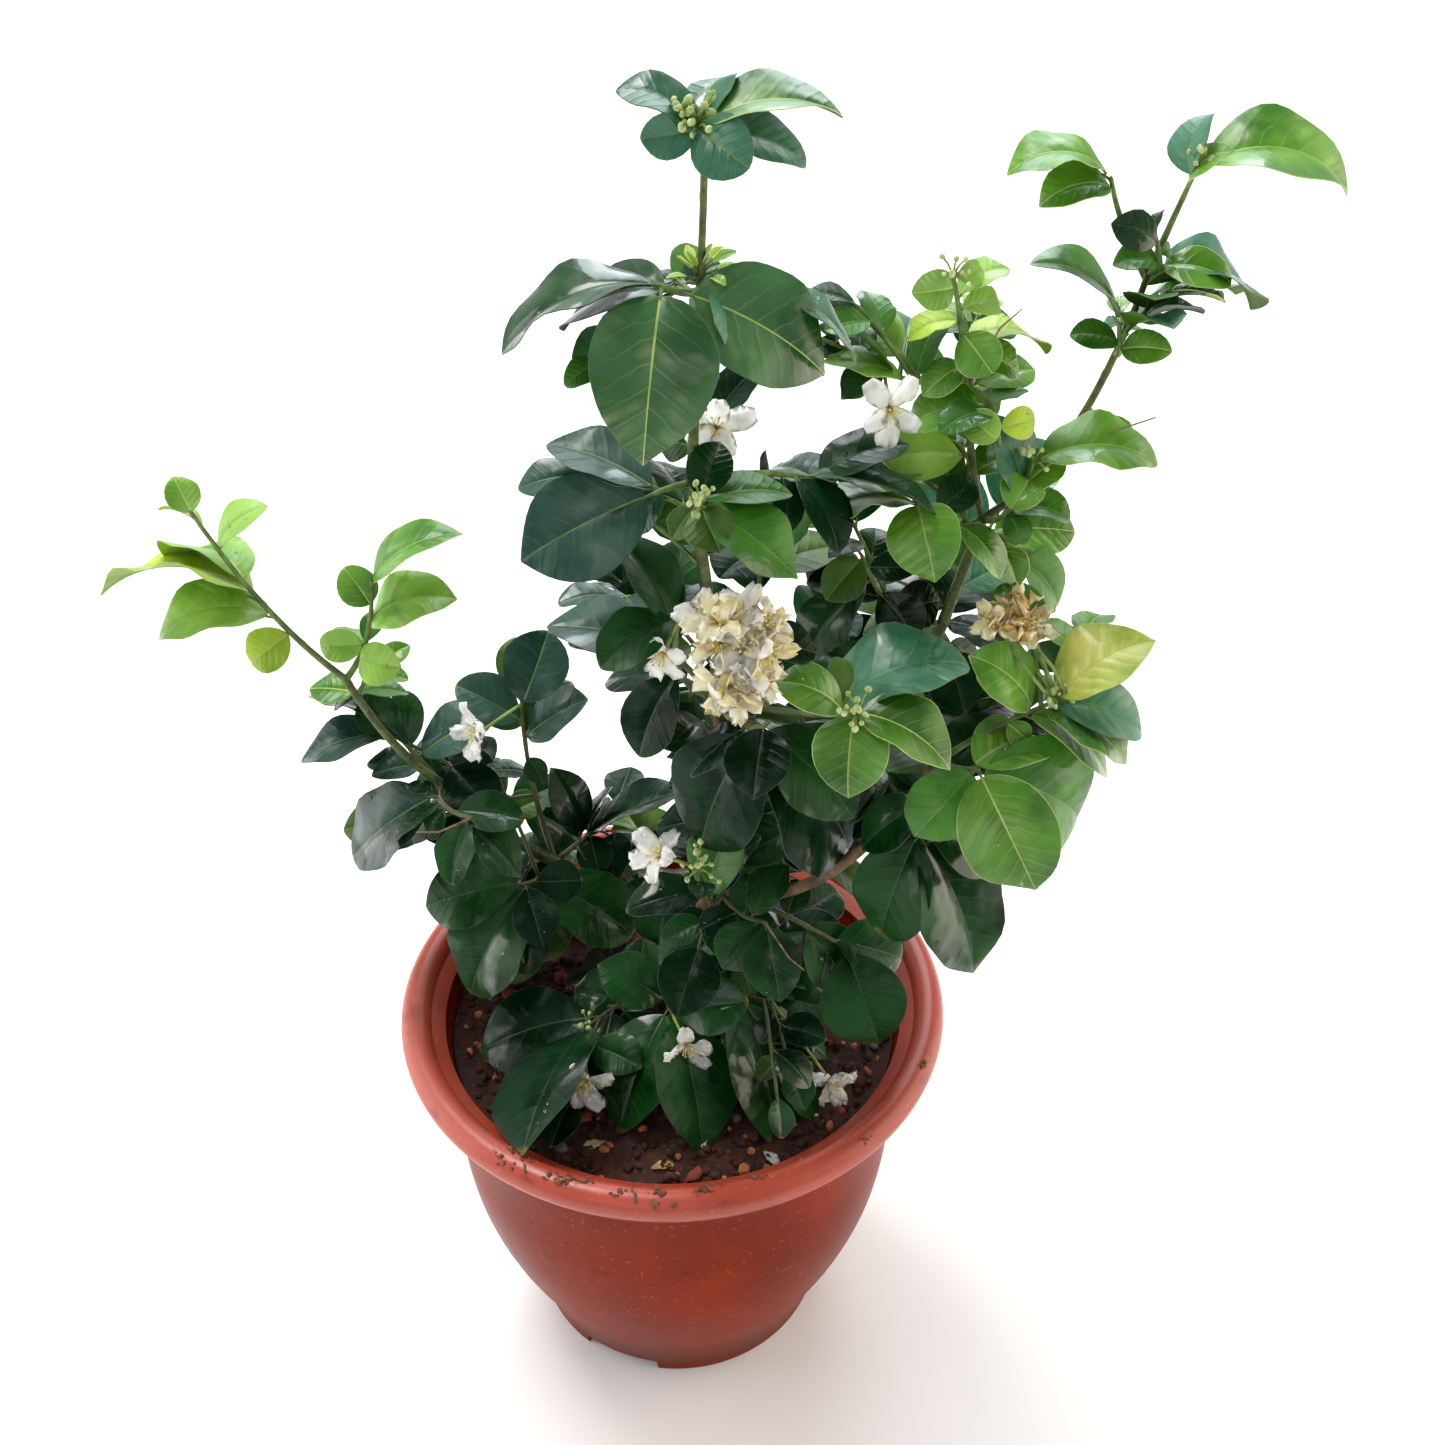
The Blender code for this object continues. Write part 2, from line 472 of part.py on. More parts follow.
def leaflet_row(start, row, turn, tilt, shrink, arch, dice):
    """One leaf: its rachis, or none for a single leaflet, and its leaflets in alternate order."""
    compass, rise, length, width, roll, count = (tuple(row) + (0, 0, 1)[len(row) - 3:])
    width_share = width / length if width else dice.uniform(0.56, 0.68)
    roll += 0 if width else dice.uniform(-14, 14)
    length *= MM * shrink
    bend = arch * dice.uniform(0.8, 1.2)
    chord = heading(compass + turn, rise + tilt)
    up = (light - chord * light.dot(chord)).normalized()
    up.rotate(Quaternion(chord, radians(roll)))
    half = radians(bend / 2)
    along, lift = chord * cos(half) + up * sin(half), up * cos(half) - chord * sin(half)
    if count == 1:
        return None, [(start, along, lift, length, length * width_share, bend, stalked_rings)]
    reach = length * (0.15 + 0.30 * (count - 1))
    rachis = bow(start, (chord + up * 0.8).normalized(), start + (chord + up * 0.45) * reach, 3)
    last = (chord * length - up * 0.45 * reach).normalized()
    rise_up = (up - last * up.dot(last)).normalized()
    along, lift = last * cos(half) + rise_up * sin(half), rise_up * cos(half) - last * sin(half)
    leaflets = [(rachis[-1], along, lift, length, length * width_share, bend, leaf_rings)]
    for k in range(count - 1):
        spot = 0.35 + 0.65 * k / (count - 1)
        near = min(2, int(spot * 3))
        place = rachis[near].lerp(rachis[near + 1], spot * 3 - near)
        size = length * (0.66 + 0.34 * k / (count - 1))
        along = Quaternion(up, radians(62 if k % 2 else -62)) @ chord
        lift = (up - along * up.dot(along)).normalized()
        leaflets.append((place, along, lift, size, size * width_share, bend, leaf_rings))
    return rachis, leaflets


def grow(name, start, row, arch, dice):
    """Grows one leaf, nudged where it would touch something; a leaflet with no room is left out."""
    best = (None, [], 0)
    for attempt in range(12):
        turn = (dice.random() - 0.5) * 6 * attempt
        tilt = (dice.random() - 0.5) * 5 * attempt
        shrink = 1 - 0.02 * attempt
        rachis, row_leaflets = leaflet_row(start, row, turn, tilt, shrink, arch, dice)
        if rachis and not clear_of(*tube(rachis, [rachis_radius + margin] * 4, 3), lambda o, k: o != name):
            continue
        kept = []
        for leaflet in row_leaflets:
            rings = leaflet[-1]
            whole = blade(*leaflet, swell=margin, first=1)
            outer_part = blade(*leaflet, swell=margin, first=len(rings) - 2)
            if not clear_of(*whole, lambda o, k: o != name and k != "outer"):
                continue
            if not clear_of(*outer_part, lambda o, k: o == name and k != "whole"):
                continue
            kept.append((leaflet, whole, outer_part))
        if len(kept) > best[2]:
            best = (rachis, kept, len(kept))
        if len(kept) == len(row_leaflets):
            break
    rachis, kept, found = best
    if rachis:
        masses[name][0].append(rachis)
        add_obstacle(*tube(rachis, [rachis_radius + margin] * 4, 3), name, "twig")
    for leaflet, whole, outer_part in kept:
        masses[name][1].append(leaflet)
        add_obstacle(*whole, name, "whole")
        add_obstacle(*outer_part, name, "outer")


for piece in (pot, soil):
    corners = [vert.co for vert in piece.data.vertices]
    add_obstacle(corners, [tuple(face.vertices) for face in piece.data.polygons], piece.name, "twig")
for name, (line, widths) in limb_lines.items():
    add_obstacle(*limb_shape(line, [width + margin for width in widths]), name, "twig")
stems = {}
for name, (fork, tip, leave, tint, low, arch, leaves, flowers) in shoots.items():
    fork_point, fork_radius = forks[fork]
    way = heading(*leave)
    stem = bow(fork_point + way * (fork_radius + GAP), way, Vector(tip) * MM, 5)
    widths = [1.0 * MM] + [(1.6 - 0.12 * k) * MM for k in range(1, 6)]
    stems[name] = (stem, widths)
    add_obstacle(*tube(stem, [width + margin for width in widths], 3), name, "twig")
    for flower in flowers:
        for flower_part in flower_parts(stem[-1], flower):
            add_obstacle(*flower_part, name, "twig")

# The longest leaves of the whole plant grow first, so that the small ones make room for them.
masses = {name: ([], []) for name in shoots}
turns = [(-row[2], name, order) for name in shoots for order, row in enumerate(shoots[name][6])]
for length, name, order in sorted(turns):
    low, arch, leaves = shoots[name][4:7]
    stem = stems[name][0]
    spot = min(low + (1 - low) * (order + 1) / len(leaves), 0.98) * (len(stem) - 1)
    start = stem[int(spot)].lerp(stem[int(spot) + 1], spot - int(spot))
    grow(name, start, leaves[order], arch, Random(f"{name} {order}"))


# The solids of trunk, limbs and masses. A mass is one Boolean union of its stem, rachises,
# leaflets and flowers.
def mesh_of(name, verts, faces):
    mesh = bpy.data.meshes.new(name)
    mesh.from_pydata(verts, [], faces)
    return mesh


trunk_verts, trunk_faces = limb_shape(trunk_line, trunk_widths, neck=1, sides=10)
for vert in trunk_verts[:10]:
    vert.z = trunk_foot.z
put("trunk", mesh_of("trunk", trunk_verts, trunk_faces), bark, 50)
for name in limbs:
    put(name, mesh_of(name, *limb_shape(*limb_lines[name])), bark, 50)


def keep_largest(mesh):
    """Drops every loose scrap of a mesh but its largest connected piece."""
    shape = bmesh.new()
    shape.from_mesh(mesh)
    left = set(shape.verts)
    pieces = []
    while left:
        edge = [left.pop()]
        piece = set(edge)
        while edge:
            vert = edge.pop()
            fresh = {link.other_vert(vert) for link in vert.link_edges} - piece
            piece |= fresh
            edge += fresh
        left -= piece
        pieces.append(piece)
    pieces.sort(key=len)
    for piece in pieces[:-1]:
        bmesh.ops.delete(shape, geom=list(piece), context="VERTS")
    shape.to_mesh(mesh)
    shape.free()


for name, (rachises, leaflets) in masses.items():
    tip, tint, flowers = stems[name][0][-1], shoots[name][3], shoots[name][7]
    parts = [tube(rachis, [rachis_radius] * 4, 3) for rachis in rachises]
    parts += [blade(*leaflet) for leaflet in leaflets]
    for flower in flowers:
        parts += flower_parts(tip, flower)
    mass = put(name, mesh_of(name, *tube(*stems[name], 3)), leaf_paints[tint])
    group = bpy.data.collections.new(name)
    for verts, faces in parts:
        twig = bpy.data.objects.new("part", mesh_of("part", verts, faces))
        group.objects.link(twig)
    join = mass.modifiers.new("join", "BOOLEAN")
    join.operation = "UNION"
    join.operand_type = "COLLECTION"
    join.collection = group
    join.solver = "EXACT"
    bpy.context.view_layer.objects.active = mass
    bpy.ops.object.modifier_apply(modifier=join.name)
    for twig in list(group.objects):
        bpy.data.objects.remove(twig, do_unlink=True)
    bpy.data.collections.remove(group)
    keep_largest(mass.data)
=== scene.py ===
"""The looks of an orange jasmine shrub in a round plastic pot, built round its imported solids.

Metres, +Z up. The origin is the middle of the pot's foot, and -Y is the side it is seen from.
"""

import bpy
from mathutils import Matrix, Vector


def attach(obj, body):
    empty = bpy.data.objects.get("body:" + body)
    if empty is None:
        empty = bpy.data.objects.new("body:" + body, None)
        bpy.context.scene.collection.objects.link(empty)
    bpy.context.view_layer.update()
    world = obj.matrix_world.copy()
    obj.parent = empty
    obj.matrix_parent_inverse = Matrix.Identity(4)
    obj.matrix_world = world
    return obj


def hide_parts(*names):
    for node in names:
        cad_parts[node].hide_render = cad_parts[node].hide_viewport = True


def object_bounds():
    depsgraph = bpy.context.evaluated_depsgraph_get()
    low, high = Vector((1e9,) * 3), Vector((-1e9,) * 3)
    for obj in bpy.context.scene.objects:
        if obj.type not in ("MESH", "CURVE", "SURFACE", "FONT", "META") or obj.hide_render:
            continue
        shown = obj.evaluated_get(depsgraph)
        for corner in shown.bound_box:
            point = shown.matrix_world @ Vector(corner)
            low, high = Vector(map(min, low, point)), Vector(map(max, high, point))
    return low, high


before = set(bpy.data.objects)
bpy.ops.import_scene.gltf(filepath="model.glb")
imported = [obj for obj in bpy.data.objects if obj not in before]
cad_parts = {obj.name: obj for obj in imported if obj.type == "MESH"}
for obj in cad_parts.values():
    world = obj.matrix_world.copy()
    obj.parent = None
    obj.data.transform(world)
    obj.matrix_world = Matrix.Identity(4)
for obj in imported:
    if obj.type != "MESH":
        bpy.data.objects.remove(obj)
cad_box = [list(corner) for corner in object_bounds()]

from math import cos, exp, pi, radians, sin
from random import Random

import bpy
from mathutils import Quaternion, Vector, noise
from mathutils.bvhtree import BVHTree

MM = 0.001
bpy.ops.object.select_all(action="DESELECT")

# The pot: one moulding of terracotta-coloured plastic with a thin wall, a thick rolled rim and a
# ring foot with three drain notches. It is turned from one ring of edges, and the notches are cut
# through the foot. It carries dust, scuffs and a band of dried mud above the foot. Its body is
# painted darker as painted shade and its rim lighter as painted sheen, and the groove under the
# bead has a dark line of painted shade.
pot_sides, body_steps = 144, 4
wall = 3.0 * MM
floor_under, floor_top = 8.0 * MM, 11.0 * MM
foot_inner, foot_outer = 71.0 * MM, 77.0 * MM
pad_edge = ((18.0, 0), (18.8, 0.6), (19.5, 8.0))
body_radii = (77.6, 80.0, 86.2, 98.7, 107.7, 111.9, 112.6, 114.0)
body_heights = (0, 12, 30, 60, 90, 120, 150, 180)
collar_root = (114.8 * MM, 181.0 * MM)
collar_radius, collar_low = 119.0 * MM, 181.5 * MM
bead_middle, bead_radius = Vector((127.4, 202.5)) * MM, 7.4 * MM
lip_middle, lip_radius = Vector((125.2, 194.6)) * MM, 4.9 * MM
groove_radius, groove_height = 129.7 * MM, 195.7 * MM
rim_inside = ((116.6, 201.4), (113.6, 199.0), (113.0, 195.0), (111.6, 188.6), (111.3, 187.8))
rim_material_above, rim_material_beyond = 196.0 * MM, 115.0 * MM


def smooth_between(values, steps):
    """Values on the smooth curve that passes through evenly counted ones."""
    found = []
    for k in range(len(values) - 1):
        before, here = values[max(k - 1, 0)], values[k]
        there, after = values[k + 1], values[min(k + 2, len(values) - 1)]
        for step in range(steps):
            t = step / steps
            pull = (there - before) * t + (2 * before - 5 * here + 4 * there - after) * t**2
            found.append(here + 0.5 * (pull + (3 * here - before - 3 * there + after) * t**3))
    return found + [values[-1]]


def turned(name, profile, sides):
    """A turned piece: one ring of edges, extruded and resized along a profile of (radius, height)."""
    radius, height = profile[0]
    bpy.ops.mesh.primitive_circle_add(
        vertices=sides, radius=radius, fill_type="NGON", location=(0, 0, height)
    )
    piece = bpy.context.object
    piece.name = name
    bpy.ops.object.transform_apply(location=True, rotation=True, scale=True)
    bpy.ops.object.mode_set(mode="EDIT")
    bpy.ops.mesh.select_all(action="SELECT")
    for next_radius, next_height in profile[1:]:
        bpy.ops.mesh.extrude_edges_move(TRANSFORM_OT_translate={"value": (0, 0, next_height - height)})
        widening = next_radius / radius
        bpy.ops.transform.resize(value=(widening, widening, 1), center_override=(0, 0, 0))
        radius, height = next_radius, next_height
    bpy.ops.mesh.edge_face_add()
    bpy.ops.mesh.select_all(action="SELECT")
    bpy.ops.mesh.normals_make_consistent(inside=False)
    bpy.ops.object.mode_set(mode="OBJECT")
    return piece


body_line = zip(smooth_between(body_radii, body_steps), smooth_between(body_heights, body_steps))
outer_wall = [(radius * MM, height * MM) for radius, height in body_line]
lip = [
    (lip_middle.x + lip_radius * cos(radians(angle)), lip_middle.y + lip_radius * sin(radians(angle)))
    for angle in range(-128, 9, 8)
]
bead = [
    (bead_middle.x + bead_radius * cos(radians(angle)), bead_middle.y + bead_radius * sin(radians(angle)))
    for angle in range(-67, 174, 10)
]
inner_wall = [(radius - wall, height) for radius, height in reversed(outer_wall[2 * body_steps :])]
pot_profile = (
    [(radius * MM, height * MM) for radius, height in pad_edge]
    + [(foot_inner - 1.5 * MM, floor_under), (foot_inner - 0.3 * MM, 0.7 * MM), (foot_inner + 0.4 * MM, 0)]
    + [(foot_outer, 0), (body_radii[0] * MM, 0.6 * MM)]
    + outer_wall[1:]
    + [collar_root, (collar_radius - 0.6 * MM, collar_low), (collar_radius, collar_low + 0.6 * MM)]
    + lip
    + [(groove_radius, groove_height)]
    + bead
    + [(radius * MM, height * MM) for radius, height in rim_inside]
    + inner_wall
    + [(75.0 * MM, floor_top + 3 * MM), (72.0 * MM, floor_top)]
)
pot = turned("pot_moulding", pot_profile, pot_sides)

notch_height, notch_width, notch_depth = 9.0 * MM, 41.0 * MM, 30.0 * MM
notch_compasses, notch_rounding = (-112.5, 7.5, 127.5), 0.07
for compass in notch_compasses:
    middle = Vector((cos(radians(compass)), sin(radians(compass)), 0)) * (foot_inner + notch_depth / 4)
    bpy.ops.mesh.primitive_cube_add(size=1, location=middle, rotation=(0, 0, radians(compass)))
    cutter = bpy.context.object
    cutter.scale = (notch_depth, notch_width, 2 * notch_height)
    rounding = cutter.modifiers.new("rounding", "BEVEL")
    rounding.width = notch_rounding
    rounding.segments = 4
    bpy.ops.object.modifier_apply(modifier=rounding.name)
    bpy.ops.object.transform_apply(location=True, rotation=True, scale=True)
    notch = pot.modifiers.new("notch", "BOOLEAN")
    notch.object = cutter
    notch.solver = "EXACT"
    bpy.ops.object.select_all(action="DESELECT")
    bpy.context.view_layer.objects.active = pot
    bpy.ops.object.modifier_apply(modifier=notch.name)
    bpy.data.objects.remove(cutter, do_unlink=True)
pot.select_set(True)
bpy.ops.object.shade_smooth_by_angle(angle=radians(42))


def linear(red, green, blue):
    """A screen colour, 0 to 255, as the linear colour that a shader takes."""
    return (*[(max(c, 0) / 255) ** 2.2 for c in (red, green, blue)], 1.0)


def shader_of(material):
    """The surface shader of a material."""
    return material.node_tree.nodes["Principled BSDF"]


def added(material, kind, inputs, **settings):
    """A new shader node. Each input is set to a plain value or linked to another node's output."""
    node = material.node_tree.nodes.new("ShaderNode" + kind)
    for name, value in settings.items():
        setattr(node, name, value)
    for name, value in inputs.items():
        if isinstance(value, bpy.types.NodeSocket):
            material.node_tree.links.new(value, node.inputs[name])
        else:
            node.inputs[name].default_value = value
    return node


def ranged(material, value, low, high, least=0.0, most=1.0):
    """A value taken from one range to another and held there."""
    limits = {"From Min": low, "From Max": high, "To Min": least, "To Max": most}
    return added(material, "MapRange", {"Value": value, **limits}).outputs["Result"]


def spots(material, scale, detail=2.0, stretch=(1, 1, 1)):
    """Noise on the piece's own place, as a value, with so many spots in a metre."""
    place = added(material, "TexCoord", {}).outputs["Object"]
    mapped = added(material, "Mapping", {"Vector": place, "Scale": stretch}).outputs["Vector"]
    noisy = added(material, "TexNoise", {"Vector": mapped, "Scale": scale, "Detail": detail})
    return noisy.outputs["Fac"]


def bumped(material, height, distance, strength, below=None):
    """A relief of some depth in metres, laid over the one below it where there is one."""
    inputs = {"Height": height, "Distance": distance, "Strength": strength}
    if below is not None:
        inputs["Normal"] = below
    return added(material, "Bump", inputs).outputs["Normal"]


def finish(name, dark, light, patch, roughness, relief=0.0, grain=900.0):
    """A finish of two close colours, with so many patches and grains in a metre.

    The roughness is a pair, from and to. The relief is the depth of the grain in metres.
    """
    material = bpy.data.materials.new(name)
    material.use_nodes = True
    links, shader = material.node_tree.links, shader_of(material)
    patches = spots(material, patch, 5.0)
    colours = added(material, "ValToRGB", {"Fac": patches})
    for stop, place, colour in zip(colours.color_ramp.elements, (0.38, 0.64), (dark, light)):
        stop.position = place
        stop.color = linear(*colour)
    links.new(colours.outputs["Color"], shader.inputs["Base Color"])
    links.new(ranged(material, patches, 0.35, 0.65, *roughness), shader.inputs["Roughness"])
    if relief:
        links.new(bumped(material, spots(material, grain, 3.0), relief, 0.6), shader.inputs["Normal"])
    return material


def lay_over(material, colour, mask):
    """Lays one more colour over a finish where a mask, from 0 to 1, says."""
    below = shader_of(material).inputs["Base Color"]
    colours = {"Factor": mask, "A": below.links[0].from_socket, "B": linear(*colour)}
    mix = added(material, "Mix", colours, data_type="RGBA")
    material.node_tree.links.new(mix.outputs["Result"], below)


def combined(material, operation, *values):
    """One or two values put through one arithmetic step. The second may be a plain number."""
    return added(material, "Math", dict(enumerate(values)), operation=operation).outputs["Value"]


def speckled(material, colour, scale, detail, low, high, most, stretch=(1, 1, 1)):
    """Lays a colour over a finish in spots, from a low value of the noise up to a high one."""
    mask = ranged(material, spots(material, scale, detail, stretch), low, high, 0, most)
    lay_over(material, colour, mask)


def height_of(material):
    """The height above the floor, as a value."""
    place = added(material, "TexCoord", {}).outputs["Object"]
    return added(material, "SeparateXYZ", {"Vector": place}).outputs["Z"]


def worn_plastic_with_groove_shade(name, dark, light, roughness, shine):
    """Terracotta-coloured plastic with pale specks, dark scuffs and painted shade in the rim's groove."""
    material = finish(name, dark, light, 14.0, roughness, 0.00012, 1500.0)
    speckled(material, (190, 104, 78), 420.0, 1.0, 0.66, 0.74, 0.35)
    speckled(material, (88, 28, 16), 60.0, 8.0, 0.60, 0.72, 0.5, (1, 1, 3))
    # A dark line of painted shade along the groove under the bead, where the rim shades the plastic.
    above_groove = combined(material, "SUBTRACT", height_of(material), groove_height)
    off_groove = combined(material, "ABSOLUTE", above_groove)
    lay_over(material, (84, 24, 12), ranged(material, off_groove, 1.6 * MM, 0.4 * MM, 0, 0.75))
    shader_of(material).inputs["Specular IOR Level"].default_value = shine
    return material


# The body's colours are darker than the plastic's own terracotta, as painted shade under the rim.
plastic = worn_plastic_with_groove_shade("terracotta_plastic", (108, 31, 7), (132, 42, 12), (0.32, 0.46), 0.09)
waver = ranged(plastic, spots(plastic, 30.0, 6.0), 0.3, 0.7, -10 * MM, 10 * MM)
mud_line = combined(plastic, "ADD", height_of(plastic), waver)
mud_top = ranged(plastic, mud_line, 34 * MM, 18 * MM)
mud = combined(plastic, "MULTIPLY", mud_top, ranged(plastic, mud_line, 4 * MM, 12 * MM))
mud_grain = ranged(plastic, spots(plastic, 260.0, 6.0), 0.35, 0.6, 0.25, 0.8)
lay_over(plastic, (98, 60, 36), combined(plastic, "MULTIPLY", mud, mud_grain))
# The rim's colours are lighter than the body's, as painted sheen, on top of its real gloss.
glossy_rim_painted_sheen = worn_plastic_with_groove_shade("terracotta_rim", (156, 62, 46), (178, 78, 60), (0.28, 0.4), 0.5)
pot.data.materials.append(plastic)
pot.data.materials.append(glossy_rim_painted_sheen)
for face in pot.data.polygons:
    reach = (face.center.x**2 + face.center.y**2) ** 0.5
    if face.center.z > rim_material_above and reach > rim_material_beyond:
        face.material_index = 1
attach(pot, "root")
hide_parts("pot")

# The soil: a bed of dark red-brown potting earth that fills the pot to a little below its rim.
# Its top is lumpy, with hollows near the wall. Its side and bottom follow the inside of the pot.
gap = 0.3 * MM
soil_top = 187.0 * MM
soil_edge = 111.0 * MM - gap
soil_sides, soil_rings = 150, 46
soil_profile = (
    [(71.5 * MM, floor_top + gap), (74.5 * MM, floor_top + 3 * MM + gap)]
    + [(radius - gap, height) for radius, height in reversed(inner_wall)]
    + [(soil_edge * (1 - k / soil_rings), soil_top) for k in range(soil_rings)]
)
soil = turned("soil_bed", soil_profile, soil_sides)


def soil_lift(x, y):
    """How far the soil's surface stands above its level."""
    share = (x * x + y * y) ** 0.5 / soil_edge
    swell = max(0.0, share - 0.2) * max(0.0, 1 - share) * 6
    waves = swell * (2.2 * sin(x * 70 + 1) + 1.8 * cos(y * 85))
    spot = Vector((x, y, 0))
    lumps = 2.4 * noise.noise(spot * 150) + 1.3 * noise.noise(spot * 330) + 0.7 * noise.noise(spot * 700)
    return (waves + lumps * min(1.0, 6 * (1.02 - share))) * MM


for vert in soil.data.vertices:
    if vert.co.z > soil_top - 0.2 * MM:
        vert.co.z += soil_lift(vert.co.x, vert.co.y)
bpy.ops.object.shade_smooth_by_angle(angle=radians(50))
earth = finish("damp_soil", (34, 16, 10), (78, 42, 28), 170.0, (0.75, 0.98), 0.0009, 700.0)
speckled(earth, (120, 62, 42), 420.0, 4.0, 0.60, 0.72, 0.6)
soil.data.materials.append(earth)
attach(soil, "root")
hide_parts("soil")

# What lies on the soil: crumbs of earth, round pellets of baked clay, chips of brick and grey
# grit. Each is an icosphere of its own uneven shape, partly sunk where it lies, and each kind is
# one joined piece.
wall_clear, trunk_clear = 109, 13
bpy.ops.mesh.primitive_ico_sphere_add(subdivisions=2, radius=1)
pebble = bpy.context.object
pebble_verts = [vert.co.copy() for vert in pebble.data.vertices]
pebble_faces = [tuple(face.vertices) for face in pebble.data.polygons]
bpy.data.objects.remove(pebble, do_unlink=True)


def joined(name, shapes, materials):
    """One piece from many closed shapes of (vertices, faces[, material numbers[, leaf places]])."""
    verts, faces, numbers, places = [], [], [], []
    for shape in shapes:
        first = len(verts)
        verts += shape[0]
        faces += [tuple(corner + first for corner in face) for face in shape[1]]
        numbers += shape[2] if len(shape) > 2 else [0] * len(shape[1])
        places += shape[3] if len(shape) > 3 else []
    mesh = bpy.data.meshes.new(name)
    mesh.from_pydata(verts, [], faces)
    for material in materials:
        mesh.materials.append(material)
    mesh.polygons.foreach_set("material_index", numbers)
    mesh.polygons.foreach_set("use_smooth", [True] * len(faces))
    mesh.update()
    if places:
        layer = mesh.uv_layers.new(name="leaf")
        flat = [value for face in faces for corner in face for value in places[corner]]
        layer.data.foreach_set("uv", flat)
    piece = bpy.data.objects.new(name, mesh)
    bpy.context.collection.objects.link(piece)
    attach(piece, "root")
    return piece


def lump(middle, size, uneven, flat, dice):
    """A pebble, turned anyhow, with its surface pushed in and out."""
    turn = Quaternion(heading_any(dice), dice.uniform(0, 2 * pi))
    shift = Vector((dice.uniform(-9, 9), dice.uniform(-9, 9), dice.uniform(-9, 9)))
    sides = Vector((dice.uniform(0.75, 1.2), dice.uniform(0.65, 1.0), dice.uniform(0.6, 1.0)))
    verts = []
    for vert in pebble_verts:
        grown = vert * (1 + uneven * noise.noise(vert * 1.6 + shift))
        grown = turn @ Vector((grown.x * sides.x, grown.y * sides.y, grown.z * sides.z))
        verts.append(middle + Vector((grown.x, grown.y, grown.z * flat)) * size)
    return verts, pebble_faces


def heading_any(dice):
    """A unit vector that points anywhere."""
    rise = dice.uniform(-1, 1)
    angle = dice.uniform(0, 2 * pi)
    level = (1 - rise * rise) ** 0.5
    return Vector((level * cos(angle), level * sin(angle), rise))


def scattered(count, least, most, uneven, flat, seed, spread=((0, 0), 108)):
    """Lumps laid on the soil inside a ring of (middle, radius) in mm, clear of the trunk."""
    dice = Random(seed)
    shapes = []
    while len(shapes) < count:
        angle, reach = dice.uniform(0, 2 * pi), dice.uniform(0, 1) ** 0.5 * spread[1]
        x, y = spread[0][0] + reach * cos(angle), spread[0][1] + reach * sin(angle)
        size = dice.uniform(least, most) if dice.random() < 0.7 else dice.uniform(least, (least + most) / 2)
        if not (trunk_clear + size) ** 2 <= x * x + y * y <= (wall_clear - size) ** 2:
            continue
        rest = soil_top + soil_lift(x * MM, y * MM) + size * 0.25 * MM
        shapes.append(lump(Vector((x * MM, y * MM, rest)), size * MM, uneven, flat, dice))
    return shapes


crumb = finish("earth_crumb", (40, 20, 13), (88, 50, 34), 300.0, (0.8, 1.0), 0.0004, 1400.0)
crumbs = scattered(count=900, least=0.9, most=3.4, uneven=0.7, flat=0.8, seed=1)
joined("soil_crumbs", crumbs, [crumb])
clay = finish("baked_clay", (150, 84, 48), (196, 128, 78), 260.0, (0.7, 0.9), 0.0003, 1600.0)
pellets = scattered(count=170, least=1.2, most=3.0, uneven=0.25, flat=0.9, seed=2)
joined("clay_pellets", pellets, [clay])
brick = finish("brick_chip", (122, 52, 40), (164, 78, 60), 120.0, (0.75, 0.95), 0.0005, 900.0)
chips = scattered(count=26, least=2.5, most=6.0, uneven=0.8, flat=0.6, seed=3)
chips += scattered(count=7, least=7.0, most=13.0, uneven=0.6, flat=0.5, seed=4, spread=((-62, -24), 26))
joined("brick_chips", chips, [brick])
grey = finish("grey_grit", (70, 66, 64), (112, 106, 102), 200.0, (0.6, 0.85), 0.0003, 1300.0)
grit = scattered(count=40, least=1.5, most=4.5, uneven=0.6, flat=0.7, seed=5)
joined("grey_grit", grit, [grey])

# Splashed earth on the rim: small crumbs stuck in loose groups along the front of the bead, where
# rain has thrown them up from the soil. A row is the compass angle of a group and its angle up the
# bead's round, both in degrees.
rim_groups = (
    (-124.5, 120), (-121.5, 60), (-119, 112), (-112.5, 76), (-105.5, 98), (-104.5, 134),
    (-92, 90), (-91, 52), (-79, 112), (-24, 60), (-47.5, 58), (-124.5, 66),
    (-83, 104), (-71, 106), (-98, 84), (-109, 92),
)


def on_bead(compass, around, off=0.0):
    """A point some way off the bead, at a compass angle and an angle up the bead's round."""
    reach = bead_middle.x + (bead_radius + off) * cos(around)
    height = bead_middle.y + (bead_radius + off) * sin(around)
    return Vector((reach * cos(compass), reach * sin(compass), height))


rim_shapes = []
dice = Random(11)
for compass, around in rim_groups:
    for k in range(dice.randrange(4, 9)):
        place = radians(compass + dice.gauss(0, 1.0)), radians(around + dice.gauss(0, 9))
        size = dice.uniform(0.5, 2.1) * MM * (1 if dice.random() < 0.35 else 0.5)
        rim_shapes.append(lump(on_bead(*place, size * 0.2), size, 0.7, 0.7, dice))
splash = finish("splashed_earth", (84, 46, 30), (130, 80, 54), 300.0, (0.7, 0.9), 0.0003, 1400.0)
joined("rim_crumbs", rim_shapes, [splash])

# The trunk and limbs: a short brown stem with a root flare, and the boughs that fork from it.
# Each is one tapering limb whose bark has lengthwise ridges, swollen rings where leaves once
# stood and small knots. Old wood is brown, and the higher limbs are still green.
trunk_tip = Vector((0, 2, 213)) * MM
trunk_radius = 6.5 * MM
flare = ((0.0, 1.75), (0.12, 1.35), (0.3, 1.12), (0.6, 1.0), (1.0, 1.0))
limb_steps, fine_limb_steps = 5, 14
limb_neck = 0.6
scar_gap = 26 * MM


def heading(compass, rise):
    """Unit vector at a compass angle (0 is +X, 90 is +Y) and a rise above level, in degrees."""
    turn, lift = radians(compass), radians(rise)
    return Vector((cos(lift) * cos(turn), cos(lift) * sin(turn), sin(lift)))


